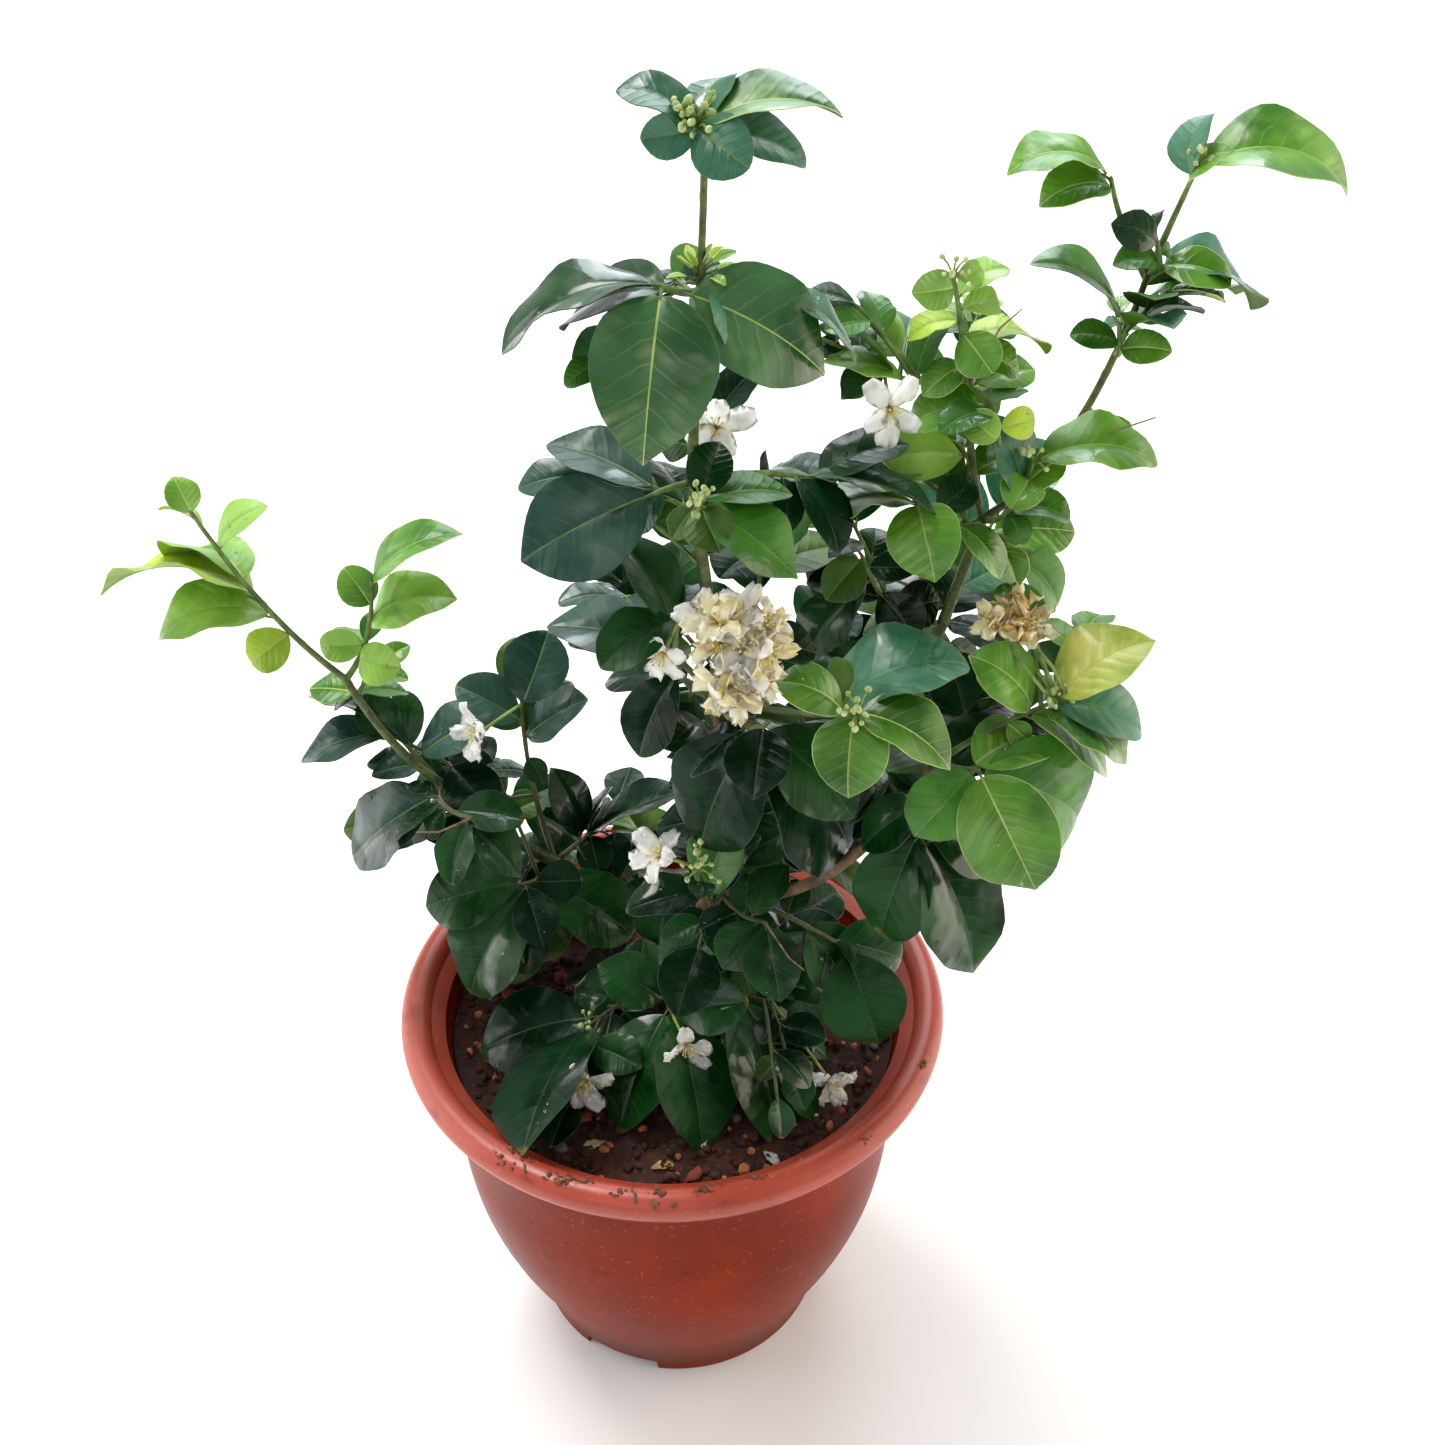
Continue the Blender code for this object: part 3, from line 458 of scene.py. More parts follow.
def bow(start, leave, end, steps):
    """Points of a smooth curve that leaves start along a direction and comes to end."""
    knee = start + leave * (end - start).length * 0.42
    shares = [k / steps for k in range(steps + 1)]
    return [start.lerp(knee, t).lerp(knee.lerp(end, t), t) for t in shares]


def tube(points, radii, sides, swell=None):
    """Vertices and faces of a closed tube with flat ends, and with a swell by (ring, angle)."""
    verts, faces = [], []
    last = len(points) - 1
    side = (points[1] - points[0]).orthogonal()
    for k, point in enumerate(points):
        along = (points[min(k + 1, last)] - points[max(k - 1, 0)]).normalized()
        side = (side - along * side.dot(along)).normalized()
        other = along.cross(side)
        for j in range(sides):
            angle = 2 * pi * j / sides
            radius = radii[k] * (swell(k, angle) if swell else 1)
            verts.append(point + (side * cos(angle) + other * sin(angle)) * radius)
    for k in range(last):
        for j in range(sides):
            a, b = k * sides + j, k * sides + (j + 1) % sides
            faces.append((a, b, b + sides, a + sides))
    faces.append(tuple(reversed(range(sides))))
    faces.append(tuple(range(last * sides, (last + 1) * sides)))
    return verts, faces


trunk_foot = Vector((-1 * MM, 0, soil_top + gap))
trunk_line = [trunk_foot.lerp(trunk_tip, share) for share, swell in flare]
trunk_widths = [trunk_radius * swell for share, swell in flare]

# A row holds the limb it grows from, its tip in mm, its radii in mm at both ends, and the
# compass angle and rise at which it leaves its fork.
limbs = {
    "left_foot": ("trunk", (-60, 45, 252), (4.0, 3.2), (146, 28)),
    "left_arm": ("left_foot", (-110, 32, 312), (3.0, 2.4), (192, 38)),
    "left_tip": ("left_arm", (-144, 20, 380), (2.2, 1.7), (200, 50)),
    "leader_foot": ("trunk", (23, -10, 283), (4.8, 4.2), (330, 76)),
    "leader_low": ("leader_foot", (24, -22, 398), (3.8, 3.1), (290, 84)),
    "leader_mid": ("leader_low", (13, -32, 504), (2.9, 2.3), (200, 84)),
    "leader_high": ("leader_mid", (17, -58, 588), (2.0, 1.7), (280, 74)),
    "leader_top": ("leader_high", (19, -70, 631), (1.3, 1.2), (285, 76)),
    "right_foot": ("leader_foot", (115, 8, 402), (3.4, 2.8), (22, 24)),
    "right_mid": ("right_foot", (133, 18, 462), (2.6, 2.1), (28, 70)),
    "front_arm": ("leader_foot", (114, -42, 380), (3.0, 2.3), (322, 12)),
    "tall_low": ("right_mid", (181, 28, 531), (1.8, 1.5), (4, 34)),
    "tall_high": ("tall_low", (189, 28, 564), (1.4, 1.3), (20, 70)),
    "east_low": ("right_mid", (121, 14, 522), (1.6, 1.4), (200, 72)),
    "back_arm": ("leader_foot", (32, 68, 345), (3.0, 2.4), (88, 26)),
}
old_wood = ("left_foot", "leader_foot", "right_foot", "back_arm", "leader_low", "front_arm")

forks = {"trunk": (trunk_tip, trunk_radius)}
limb_lines = {"trunk": (trunk_line, trunk_widths)}


def off_fork(fork, leave):
    """Where a limb or a shoot starts, a little clear of its fork, and the way it leaves."""
    way = heading(*leave)
    return forks[fork][0] + way * (forks[fork][1] + gap), way


for name, (parent, tip, radii, leave) in limbs.items():
    line = bow(*off_fork(parent, leave), Vector(tip) * MM, limb_steps)
    widths = [(radii[0] + (radii[1] - radii[0]) * k / limb_steps) * MM for k in range(limb_steps + 1)]
    limb_lines[name] = (line, widths)
    forks[name] = (Vector(tip) * MM, radii[1] * MM)


def limb_shape(line, widths):
    """A limb's plain tube, narrower where it leaves its fork and domed at its tip."""
    along = (line[-1] - line[-2]).normalized()
    knee = line[0] + (line[1] - line[0]).normalized() * widths[0] * 1.1
    points, radii = [line[0], knee] + line[1:], [widths[0] * limb_neck] + widths
    for angle in (40, 70):
        points.append(line[-1] + along * widths[-1] * sin(radians(angle)))
        radii.append(widths[-1] * cos(radians(angle)))
    return tube(points, radii, 6)


def barked(points, radii, ring, sides, depth, seed):
    """A limb as a closed tube with its bark's ridges and rings, between flat ends."""
    line, widths, ways = [], [], [0.0]
    for k in range(len(points) - 1):
        steps = max(1, round((points[k + 1] - points[k]).length / ring))
        for step in range(steps):
            line.append(points[k].lerp(points[k + 1], step / steps))
            widths.append(radii[k] + (radii[k + 1] - radii[k]) * step / steps)
    line.append(points[-1])
    widths.append(radii[-1])
    for here, there in zip(line, line[1:]):
        ways.append(ways[-1] + (there - here).length)

    def relief(k, angle):
        spot = Vector((cos(angle) * 2.6, sin(angle) * 2.6, ways[k] * 55 + seed * 7))
        fine = Vector((cos(angle) * 6, sin(angle) * 6, ways[k] * 260 + seed))
        scar = (ways[k] + seed * 9 * MM) % scar_gap - scar_gap / 2
        scar_side = 0.6 + 0.4 * cos(angle - seed * 2.1 - int(ways[k] / scar_gap) * 2.4)
        ringed = 0.16 * exp(-((scar / (1.3 * MM)) ** 2)) * scar_side
        return 1 + depth * (0.9 * noise.noise(spot) + 0.5 * noise.noise(fine)) + ringed

    return tube(line, widths, sides, relief)


wood_shapes, green_shapes = [], []
flared = [(trunk_foot - Vector((0, 0, 3 * MM)), 1.95)]
flared += [(trunk_foot.lerp(trunk_tip, k / 12), 1 + 0.75 * exp(-k / 1.9)) for k in range(13)]
flared += [(trunk_tip + Vector((0, 0.3, 2.5)) * MM, 0.84), (trunk_tip + Vector((0, 0.4, 4)) * MM, 0.4)]
trunk_points = [place for place, swell in flared]
trunk_radii = [trunk_radius * swell for place, swell in flared]
wood_shapes.append(barked(trunk_points, trunk_radii, ring=1.5 * MM, sides=22, depth=0.16, seed=1))
for order, (name, (parent, tip, radii, leave)) in enumerate(limbs.items()):
    start, way = off_fork(parent, leave)
    end = Vector(tip) * MM
    line = [forks[parent][0] - way * 0.5 * MM] + bow(start, way, end, fine_limb_steps)
    along = (line[-1] - line[-2]).normalized()
    widths = [radii[0] * MM]
    for k in range(fine_limb_steps + 1):
        widths.append((radii[0] + (radii[1] - radii[0]) * k / fine_limb_steps) * MM)
    line += [end + along * radii[1] * 0.7 * MM, end + along * radii[1] * MM]
    widths += [radii[1] * 0.7 * MM, radii[1] * 0.25 * MM]
    aged = name in old_wood
    shape = barked(line, widths, ring=1.8 * MM, sides=16, depth=0.13 if aged else 0.05, seed=order + 2)
    (wood_shapes if aged else green_shapes).append(shape)

bark = finish("brown_bark", (70, 52, 36), (124, 98, 72), 190.0, (0.65, 0.9), 0.0006, 900.0)
speckled(bark, (60, 66, 40), 90.0, 5.0, 0.5, 0.68, 0.5)
green_bark = finish("green_bark", (52, 66, 26), (92, 104, 48), 160.0, (0.45, 0.65), 0.0003, 1100.0)
speckled(green_bark, (128, 112, 82), 520.0, 1.0, 0.62, 0.7, 0.6)
brown_limbs = joined("brown_limbs", wood_shapes, [bark])
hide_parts("trunk", *old_wood)
green_limbs = joined("green_limbs", green_shapes, [green_bark])
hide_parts(*[name for name in limbs if name not in old_wood])

# The growth of the leaves: every shoot bears one mass of leaves. The longest leaves of the whole
# plant grow first, each is nudged where it would touch something, and a leaflet with no room is
# left out. This settles where every leaf stands, and the pieces below are made from it.
light = Vector((0.0, -0.20, 0.98))
leaf_thick = 1.1 * MM
stalk = 0.8 * MM
fold = 0.24
margin = 0.35 * MM
rachis_radius = 1.0 * MM
stem_steps = 5
tries = 12

# Each ring of a leaflet: its share of the length, and its half-width as a share of the width.
leaf_rings = ((0.0, None), (0.32, 0.46), (0.72, 0.45))
stalked_rings = ((0.0, None), (0.08, None), (0.36, 0.47), (0.74, 0.45))

# A row holds the limb whose tip the shoot grows from, the tip of its stem in mm, the compass angle
# and rise at which it leaves, its tint, where on the stem the leaves begin, how far a leaf arches
# along its length in degrees, and its leaves. A leaf is its compass angle, the rise of its chord,
# the length of its end leaflet in mm and, where they are set, its width in mm, its roll in degrees
# and its count of leaflets. The places were marked by eye in the photo, and a scratch script turned
# them into these angles and lengths.
shoots = {
    "crown": (
        "leader_top", (17, -72, 645), (270, 76), "blue", 0.7, 66,
        ((70, 26, 30, 19, -27), (360, -15, 36, 22, 8), (163, 22, 31, 19, 4), (192, 7, 21, 14, -65),
         (5, 3, 48, 30, -1), (314, -19, 25, 18, 46)),
    ),
    "whorl": (
        "leader_high", (5, -74, 596), (225, 8), "blue", 0.1, 60,
        ((36, -48, 42, 26, 22), (2, -18, 47, 29, -4, 3), (347, -37, 60, 37, 7), (155, -26, 50, 31, -6),
         (136, -45, 39, 24, -36), (178, -21, 62, 39, 5), (258, -58, 61, 38, -10)),
    ),
    "upper_left": (
        "leader_mid", (0, -48, 508), (212, 4), "blue", 0.5, 45,
        ((197, -52, 22, 14, -10), (155, 15, 35, 22, 12), (169, -3, 55, 34, 6), (194, -23, 57, 36, -36)),
    ),
    "upper_front": (
        "leader_mid", (17, -60, 509), (280, 0), "dark", 0.45, 40,
        ((22, 4, 28, 17, 0), (71, 42, 26, 17, 14), (3, -11, 40, 25, -7), (201, -50, 17, 11, -7),
         (305, -26, 25, 19, 27), (344, -34, 45, 28, 5)),
    ),
    "upper_right": (
        "leader_mid", (70, 2, 486), (20, 6), "dark", 0.35, 50,
        ((75, -22, 18, 14, 62), (132, -54, 19, 13, -96), (281, -70, 25, 15, -33),
         (325, -47, 42, 26, -20), (351, -13, 56, 34, -16), (20, 2, 49, 30, -7), (17, 21, 37, 23, 9),
         (50, 6, 27, 17, 2)),
    ),
    "upper_back": (
        "leader_mid", (21, 0, 513), (100, 16), "dark", 0.5, 40,
        ((146, -7, 18, 14, -54), (0, 45, 22, 14, 37), (150, 31, 24, 15, -14), (28, 44, 30, 19, -4)),
    ),
    "centre_left": (
        "leader_low", (8, -38, 450), (188, 22), "dark", 0.4, 48,
        ((219, -57, 42, 26, 8), (87, 58, 43, 26, -53), (171, 7, 55, 34, 2), (142, 50, 52, 32, 20),
         (206, -2, 19, 12, -44), (208, -41, 47, 29, -2)),
    ),
    "blossom": (
        "leader_low", (30, -80, 465), (280, 4), "dark", 0.5, 40,
        ((216, 16, 18, 13, -49), (8, -14, 32, 20, -3)),
    ),
    "centre_dark": (
        "leader_low", (43, -58, 412), (305, -28), "dark", 0.45, 35,
        ((189, -44, 34, 21, 7), (195, -77, 71, 44, 21), (354, -66, 90, 56, -28), (318, -56, 64, 40, -30),
         (266, -35, 35, 26, -1), (337, -50, 56, 35, -4)),
    ),
    "front": (
        "leader_low", (75, -88, 438), (338, 0), "bright", 0.6, 40,
        ((24, -26, 67, 42, -9), (6, 15, 64, 40, -24), (51, 30, 36, 28, 21), (176, 26, 33, 21, -10),
         (340, -23, 46, 28, -5), (270, -49, 37, 28, 5)),
    ),
    "centre_back": (
        "leader_low", (42, 30, 440), (60, 22), "dark", 0.3, 45,
        ((300, 0, 36), (170, 10, 38), (100, 20, 40), (20, 10, 40), (240, 10, 38)),
    ),
    "left_back": (
        "leader_low", (-18, 22, 428), (140, 20), "dark", 0.4, 45,
        ((60, 10, 38), (200, -5, 38), (100, 20, 36), (150, 12, 36)),
    ),
    "low_front": (
        "leader_foot", (15, -50, 329), (262, 6), "dark", 0.3, 40,
        ((27, 49, 48, 30, -23), (65, 55, 51, 32, -20), (193, -7, 37, 23, 4), (266, 8, 14, 11, -6),
         (162, 41, 43, 26, 5)),
    ),
    "low_centre": (
        "leader_foot", (44, -44, 292), (296, -12), "dark", 0.3, 40,
        ((199, -17, 20, 14, -33), (88, 43, 22, 17, 0), (32, 35, 33, 20, -9), (225, -31, 27, 21, -22),
         (286, -46, 37, 24, 9)),
    ),
    "low_right": (
        "leader_foot", (83, -22, 256), (345, -14), "dark", 0.4, 40,
        ((65, 33, 19, 14, 11), (351, -56, 45, 28, 17), (235, -64, 29, 22, -12), (3, -31, 41, 25, 2),
         (306, -54, 51, 37, 21)),
    ),
    "ground_left": (
        "trunk", (-40, -30, 212), (214, 4), "dark", 0.2, 45,
        ((88, 40, 30, 22, 4), (163, 1, 28, 22, -32), (275, -18, 63, 39, 27), (201, -17, 65, 40, 27),
         (255, 1, 84, 52, 45)),
    ),
    "ground_front": (
        "trunk", (1, -40, 231), (262, 8), "dark", 0.3, 45,
        ((170, 27, 40, 25, -22), (11, 32, 39, 24, 9), (259, -28, 65, 40, 52), (336, -6, 52, 34, 30),
         (276, -33, 68, 42, -58)),
    ),
    "ground_right": (
        "trunk", (48, -32, 231), (328, 4), "dark", 0.3, 45,
        ((347, -4, 62, 39, -27), (269, -21, 78, 48, -68), (124, 42, 23, 18, -17), (279, -38, 60, 43, 6)),
    ),
    "ground_back": (
        "trunk", (12, 46, 232), (76, 10), "dark", 0.4, 45,
        ((20, 5, 38), (140, 5, 38), (60, 5, 40), (100, 5, 40)),
    ),
    "low_left": (
        "left_foot", (-70, 4, 273), (248, 6), "dark", 0.45, 40,
        ((341, -31, 57, 36, -27), (5, -2, 25, 19, 38), (233, -54, 66, 41, 32), (184, -23, 57, 35, 12),
         (287, -55, 37, 23, 1)),
    ),
    "inner_left": (
        "left_foot", (-70, 42, 351), (130, 62), "dark", 0.45, 40,
        ((194, 8, 26, 16, 11), (321, -49, 15, 11, 21), (349, 40, 44, 27, 13), (176, 33, 37, 23, -15),
         (60, 49, 39, 28, 23)),
    ),
    "rear_left": (
        "left_foot", (-43, 60, 258), (30, 28), "dark", 0.35, 40,
        ((192, 20, 31, 19, -7), (170, 29, 54, 33, 28), (132, 58, 42, 26, 30), (9, 24, 60, 37, -29),
         (58, 59, 37, 23, -41), (288, -31, 23, 17, 6)),
    ),
    "left_under": (
        "left_arm", (-92, 4, 313), (262, -8), "dark", 0.05, 40,
        ((180, -40, 61, 38, -12), (151, 10, 22, 13, 8), (193, -36, 33, 21, 24), (205, -42, 26, 16, -21),
         (13, -24, 39, 24, 8), (336, -44, 41, 26, -14), (263, -60, 37, 23, 23)),
    ),
    "left_over": (
        "left_arm", (-135, 46, 337), (150, 40), "dark", 0.0, 40,
        ((329, 15, 28, 18, 43), (199, -1, 26, 16, -4), (12, 28, 45, 28, 7), (96, 43, 31, 19, -10),
         (153, 40, 30, 19, -26), (185, -17, 50, 31, 12), (161, 9, 44, 27, 37)),
    ),
    "left_fork": (
        "left_tip", (-128, 26, 426), (30, 44), "bright", 0.0, 40,
        ((345, 1, 23, 18, 43), (185, -4, 23, 15, -47), (0, 19, 47, 29, 5), (160, 57, 22, 16, -28),
         (8, 28, 51, 31, -6)),
    ),
    "left_spray": (
        "left_tip", (-191, 2, 475), (192, 50), "bright", 0.25, 44,
        ((203, -29, 24, 18, -48), (189, -6, 56, 35, 5), (177, 1, 78, 48, 31), (164, -11, 61, 38, 30),
         (219, 22, 9, 7, -58), (15, 37, 31, 19, -2), (168, 21, 22, 13, 36), (147, 65, 18, 13, -14)),
    ),
    "right_back": (
        "right_foot", (132, 52, 402), (78, 4), "dark", 0.3, 45,
        ((200, 5, 38), (330, -10, 40), (60, 0, 40), (140, 5, 40), (20, 0, 38), (100, 0, 40)),
    ),
    "middle": (
        "right_foot", (83, 12, 448), (168, 36), "dark", 0.3, 50,
        ((243, -45, 23, 17, -11), (20, 0, 24, 19, 45), (174, -3, 41, 26, -5), (330, -43, 28, 20, 40),
         (210, -43, 45, 28, 17), (343, 6, 22, 13, 29), (218, -34, 25, 17, -30)),
    ),
    "right_front": (
        "front_arm", (161, -40, 410), (12, 36), "bright", 0.55, 42,
        ((327, -27, 13, 10, 40), (90, 41, 30, 19, 26), (339, -31, 47, 29, -17), (176, 43, 41, 25, -13),
         (337, -25, 46, 29, -5), (354, -16, 44, 27, 10), (13, 30, 51, 32, -3)),
    ),
    "right_nose": (
        "front_arm", (128, -60, 390), (318, 10), "bright", 0.65, 40,
        ((27, -6, 46, 28, -25), (7, -40, 69, 43, 0), (205, -44, 40, 26, -27), (312, -49, 59, 36, 30)),
    ),
    "right_under": (
        "front_arm", (109, -40, 338), (262, -12), "dark", 0.4, 40,
        ((184, -42, 38, 23, 0), (159, -14, 36, 22, -3), (135, -4, 23, 15, -39), (9, -35, 45, 28, 26),
         (235, -72, 56, 35, 31), (319, -62, 73, 45, -18)),
    ),
    "right_side": (
        "right_mid", (148, 2, 496), (306, 14), "bright", 0.1, 50,
        ((353, 1, 32, 20, -10), (311, -24, 21, 13, 20), (160, 60, 48, 30, 4), (25, 46, 28, 18, 8),
         (237, -15, 23, 17, -20), (356, 0, 54, 33, -15)),
    ),
    "right_inner": (
        "right_mid", (101, -6, 483), (222, 0), "bright", 0.25, 35,
        ((325, -39, 32, 20, -10), (344, -37, 66, 41, -5), (36, 29, 24, 15, 25), (182, -9, 51, 32, 25),
         (289, -48, 36, 27, 19)),
    ),
    "tall_cluster": (
        "tall_low", (179, 22, 545), (270, 6), "bright", 0.3, 40,
        ((338, 7, 22, 13, 38), (180, 12, 22, 13, -14), (0, 19, 36, 23, -23), (23, 34, 25, 15, 2),
         (180, 33, 49, 30, 8)),
    ),
    "tall_side": (
        "tall_high", (187, 22, 581), (300, 14), "bright", 0.0, 42,
        ((14, -24, 54, 34, 1), (341, -21, 34, 21, 19), (180, -4, 19, 12, -21), (47, 3, 8, 6, 42),
         (186, 24, 23, 14, -48), (60, 37, 12, 7, -41)),
    ),
    "tall_left": (
        "tall_high", (168, 22, 601), (160, 46), "bright", 0.8, 60,
        ((188, -11, 32, 20, -12), (177, 2, 45, 28, 11)),
    ),
    "tall_top": (
        "tall_high", (198, 18, 607), (10, 72), "bright", 0.7, 64,
        ((220, 50, 20, 13, -53), (338, 43, 23, 14, 4), (61, 53, 28, 18, -42), (142, 39, 26, 16, 1),
         (360, -10, 65, 40, 1)),
    ),
    "east_top": (
        "east_low", (111, 10, 569), (130, 78), "bright", 0.1, 45,
        ((204, -29, 23, 14, -21), (4, -9, 32, 20, 16), (15, -13, 41, 25, -12), (322, -41, 22, 17, 44),
         (180, -22, 23, 14, -1), (24, -4, 20, 12, 21), (25, 20, 26, 16, -9), (192, -3, 19, 14, -57),
         (26, 3, 14, 9, 55)),
    ),
    "east_left": (
        "east_low", (88, 14, 528), (196, 10), "dark", 0.4, 35,
        ((58, 2, 12, 9, 36), (55, 48, 30, 18, -33), (183, 13, 35, 22, 3), (158, 33, 32, 20, 31),
         (204, -20, 21, 13, -1)),
    ),
    "east_right": (
        "east_low", (132, -6, 508), (330, -6), "bright", 0.3, 40,
        ((173, -20, 36, 22, -12), (202, -11, 28, 17, 1), (26, 0, 19, 12, 50), (146, 39, 19, 14, -45)),
    ),
    "back_left": (
        "back_arm", (-4, 86, 380), (152, 24), "dark", 0.3, 45,
        ((60, 0, 40), (200, -10, 40), (100, 5, 42), (250, 20, 38), (80, 40, 40), (150, 0, 42)),
    ),
    "back_right": (
        "back_arm", (82, 84, 380), (28, 24), "dark", 0.3, 45,
        ((130, 5, 40), (330, -10, 40), (70, 0, 42), (300, 20, 38), (90, 40, 40), (20, 0, 42)),
    ),
}

# Flowers that grow from a shoot's tip: each is a compass angle, a rise and a distance in mm.
flowers_of = {
    "upper_back": ((277, 18, 11),),
    "centre_left": ((232, -51, 16),),
    "blossom": ((188, 41, 18), (229, 24, 12), (311, 80, 15), (342, 41, 18), (283, 23, 13), (324, 6, 17),
        (277, -43, 19), (313, -41, 22)),
    "low_front": ((201, 36, 21),),
    "ground_left": ((263, -19, 31),),
    "ground_front": ((295, -40, 14),),
    "ground_right": ((318, -37, 45),),
    "inner_left": ((215, -16, 22),),
    "right_front": ((148, 47, 39), (136, 55, 40), (140, 60, 31)),
    "east_left": ((276, -30, 16),),
}


def blade(base, along, up, length, width, bend, rings, swell, first):
    """Vertices and faces of a closed leaflet from one of its rings on, bent and folded, with a swell."""
    side = along.cross(up)
    verts, faces = [], []
    place, before = base.copy(), 0.0
    for k, (share, half) in enumerate(rings + ((1.0, 0.0),)):
        middle = radians(bend) * (before + share) / 2
        place = place + (along * cos(middle) - up * sin(middle)) * (share - before) * length
        angle = radians(bend) * share
        lift = up * cos(angle) + along * sin(angle)
        before = share
        if k < first:
            continue
        if share == 1.0:
            verts.append(place + (along * cos(angle) - up * sin(angle)) * swell)
            break
        reach = (stalk if half is None else half * width) + swell
        thick = (stalk * 0.7 if half is None else leaf_thick / 2) + swell
        edge = lift * reach * fold
        verts += [place - side * reach + edge, place + lift * thick]
        verts += [place + side * reach + edge, place - lift * thick]
    rows = len(verts) // 4
    for k in range(rows - 1):
        for j in range(4):
            a, b = 4 * k + j, 4 * k + (j + 1) % 4
            faces.append((a, b, b + 4, a + 4))
    tip = len(verts) - 1
    for j in range(4):
        faces.append((4 * (rows - 1) + j, 4 * (rows - 1) + (j + 1) % 4, tip))
    faces.append((3, 2, 1, 0))
    return verts, faces


def flower_parts(tip, flower):
    """A flower on its stalk: a slim tube, and a star of five petals cupped round its end."""
    compass, rise, reach = flower
    way = heading(compass, rise)
    heart = tip + way * reach * MM
    outward = (way + Vector((0, -0.5, 0.6))).normalized()
    across = outward.orthogonal().normalized()
    verts = [heart - outward * 1.5 * MM, heart + outward * 0.8 * MM]
    for k in range(10):
        spread = Quaternion(outward, 2 * pi * k / 10) @ across
        reach, lift = (4.5, 1.2) if k % 2 else (11.5, 5.0)
        verts.append(heart + spread * reach * MM + outward * lift * MM)
    faces = []
    for k in range(10):
        here, following = 2 + k, 2 + (k + 1) % 10
        faces += [(0, following, here), (1, here, following)]
    return [tube([tip, heart], [0.9 * MM, 1.3 * MM], 3), (verts, faces)]


obstacles = []


def clear_of(verts, faces, keep):
    """True where a shape meets none of the kept obstacles."""
    middle = sum(verts, Vector()) / len(verts)
    reach = max((vert - middle).length for vert in verts)
    tree = None
    for place, size, other, owner, kind in obstacles:
        if not keep(owner, kind) or (place - middle).length > size + reach:
            continue
        tree = tree or BVHTree.FromPolygons(verts, faces)
        if tree.overlap(other):
            return False
    return True


def add_obstacle(verts, faces, owner, kind):
    """Keeps a shape for later growth to stay clear of."""
    middle = sum(verts, Vector()) / len(verts)
    reach = max((vert - middle).length for vert in verts)
    obstacles.append((middle, reach, BVHTree.FromPolygons(verts, faces), owner, kind))


def leaflet_row(start, row, turn, tilt, shrink, arch, dice):
    """One leaf: its rachis, or none for a single leaflet, and its leaflets in alternate order.

    A row may leave out its width, its roll and its count of leaflets.
    """
    compass, rise, length, width, roll, count = tuple(row) + (0, 0, 1)[len(row) - 3 :]
    width_share = width / length if width else dice.uniform(0.56, 0.68)
    roll += 0 if width else dice.uniform(-14, 14)
    length *= MM * shrink
    bend = arch * dice.uniform(0.8, 1.2)
    chord = heading(compass + turn, rise + tilt)
    up = (light - chord * light.dot(chord)).normalized()
    up.rotate(Quaternion(chord, radians(roll)))
    half = radians(bend / 2)
    along, lift = chord * cos(half) + up * sin(half), up * cos(half) - chord * sin(half)
    if count == 1:
        return None, [(start, along, lift, length, length * width_share, bend, stalked_rings)]
    reach = length * (0.15 + 0.30 * (count - 1))
    rachis = bow(start, (chord + up * 0.8).normalized(), start + (chord + up * 0.45) * reach, 3)
    last = (chord * length - up * 0.45 * reach).normalized()
    rise_up = (up - last * up.dot(last)).normalized()
    along, lift = last * cos(half) + rise_up * sin(half), rise_up * cos(half) - last * sin(half)
    leaflets = [(rachis[-1], along, lift, length, length * width_share, bend, leaf_rings)]
    for k in range(count - 1):
        spot = 0.35 + 0.65 * k / (count - 1)
        near = min(2, int(spot * 3))
        place = rachis[near].lerp(rachis[near + 1], spot * 3 - near)
        size = length * (0.66 + 0.34 * k / (count - 1))
        along = Quaternion(up, radians(62 if k % 2 else -62)) @ chord
        lift = (up - along * up.dot(along)).normalized()
        leaflets.append((place, along, lift, size, size * width_share, bend, leaf_rings))
    return rachis, leaflets


def rachis_shape(rachis):
    """A rachis as a plain tube with room round it."""
    return tube(rachis, [rachis_radius + margin] * 4, 3)


def grow(name, start, row, arch, dice):
    """Grows one leaf, nudged where it would touch something, and gives its rachis and leaflets."""
    best = (None, [])
    for attempt in range(tries):
        turn = (dice.random() - 0.5) * 6 * attempt
        tilt = (dice.random() - 0.5) * 5 * attempt
        shrink = 1 - 0.02 * attempt
        rachis, leaflets = leaflet_row(start, row, turn, tilt, shrink, arch, dice)
        if rachis and not clear_of(*rachis_shape(rachis), lambda owner, kind: owner != name):
            continue
        kept = []
        for leaflet in leaflets:
            rings = leaflet[-1]
            whole = blade(*leaflet, swell=margin, first=1)
            outer_part = blade(*leaflet, swell=margin, first=len(rings) - 2)
            if not clear_of(*whole, lambda owner, kind: owner != name and kind != "outer"):
                continue
            if not clear_of(*outer_part, lambda owner, kind: owner == name and kind != "whole"):
                continue
            kept.append((leaflet, whole, outer_part))
        if len(kept) > len(best[1]):
            best = (rachis, kept)
        if len(kept) == len(leaflets):
            break
    rachis, kept = best
    if rachis:
        add_obstacle(*rachis_shape(rachis), name, "twig")
    for leaflet, whole, outer_part in kept:
        add_obstacle(*whole, name, "whole")
        add_obstacle(*outer_part, name, "outer")
    return rachis, [leaflet for leaflet, whole, outer_part in kept]


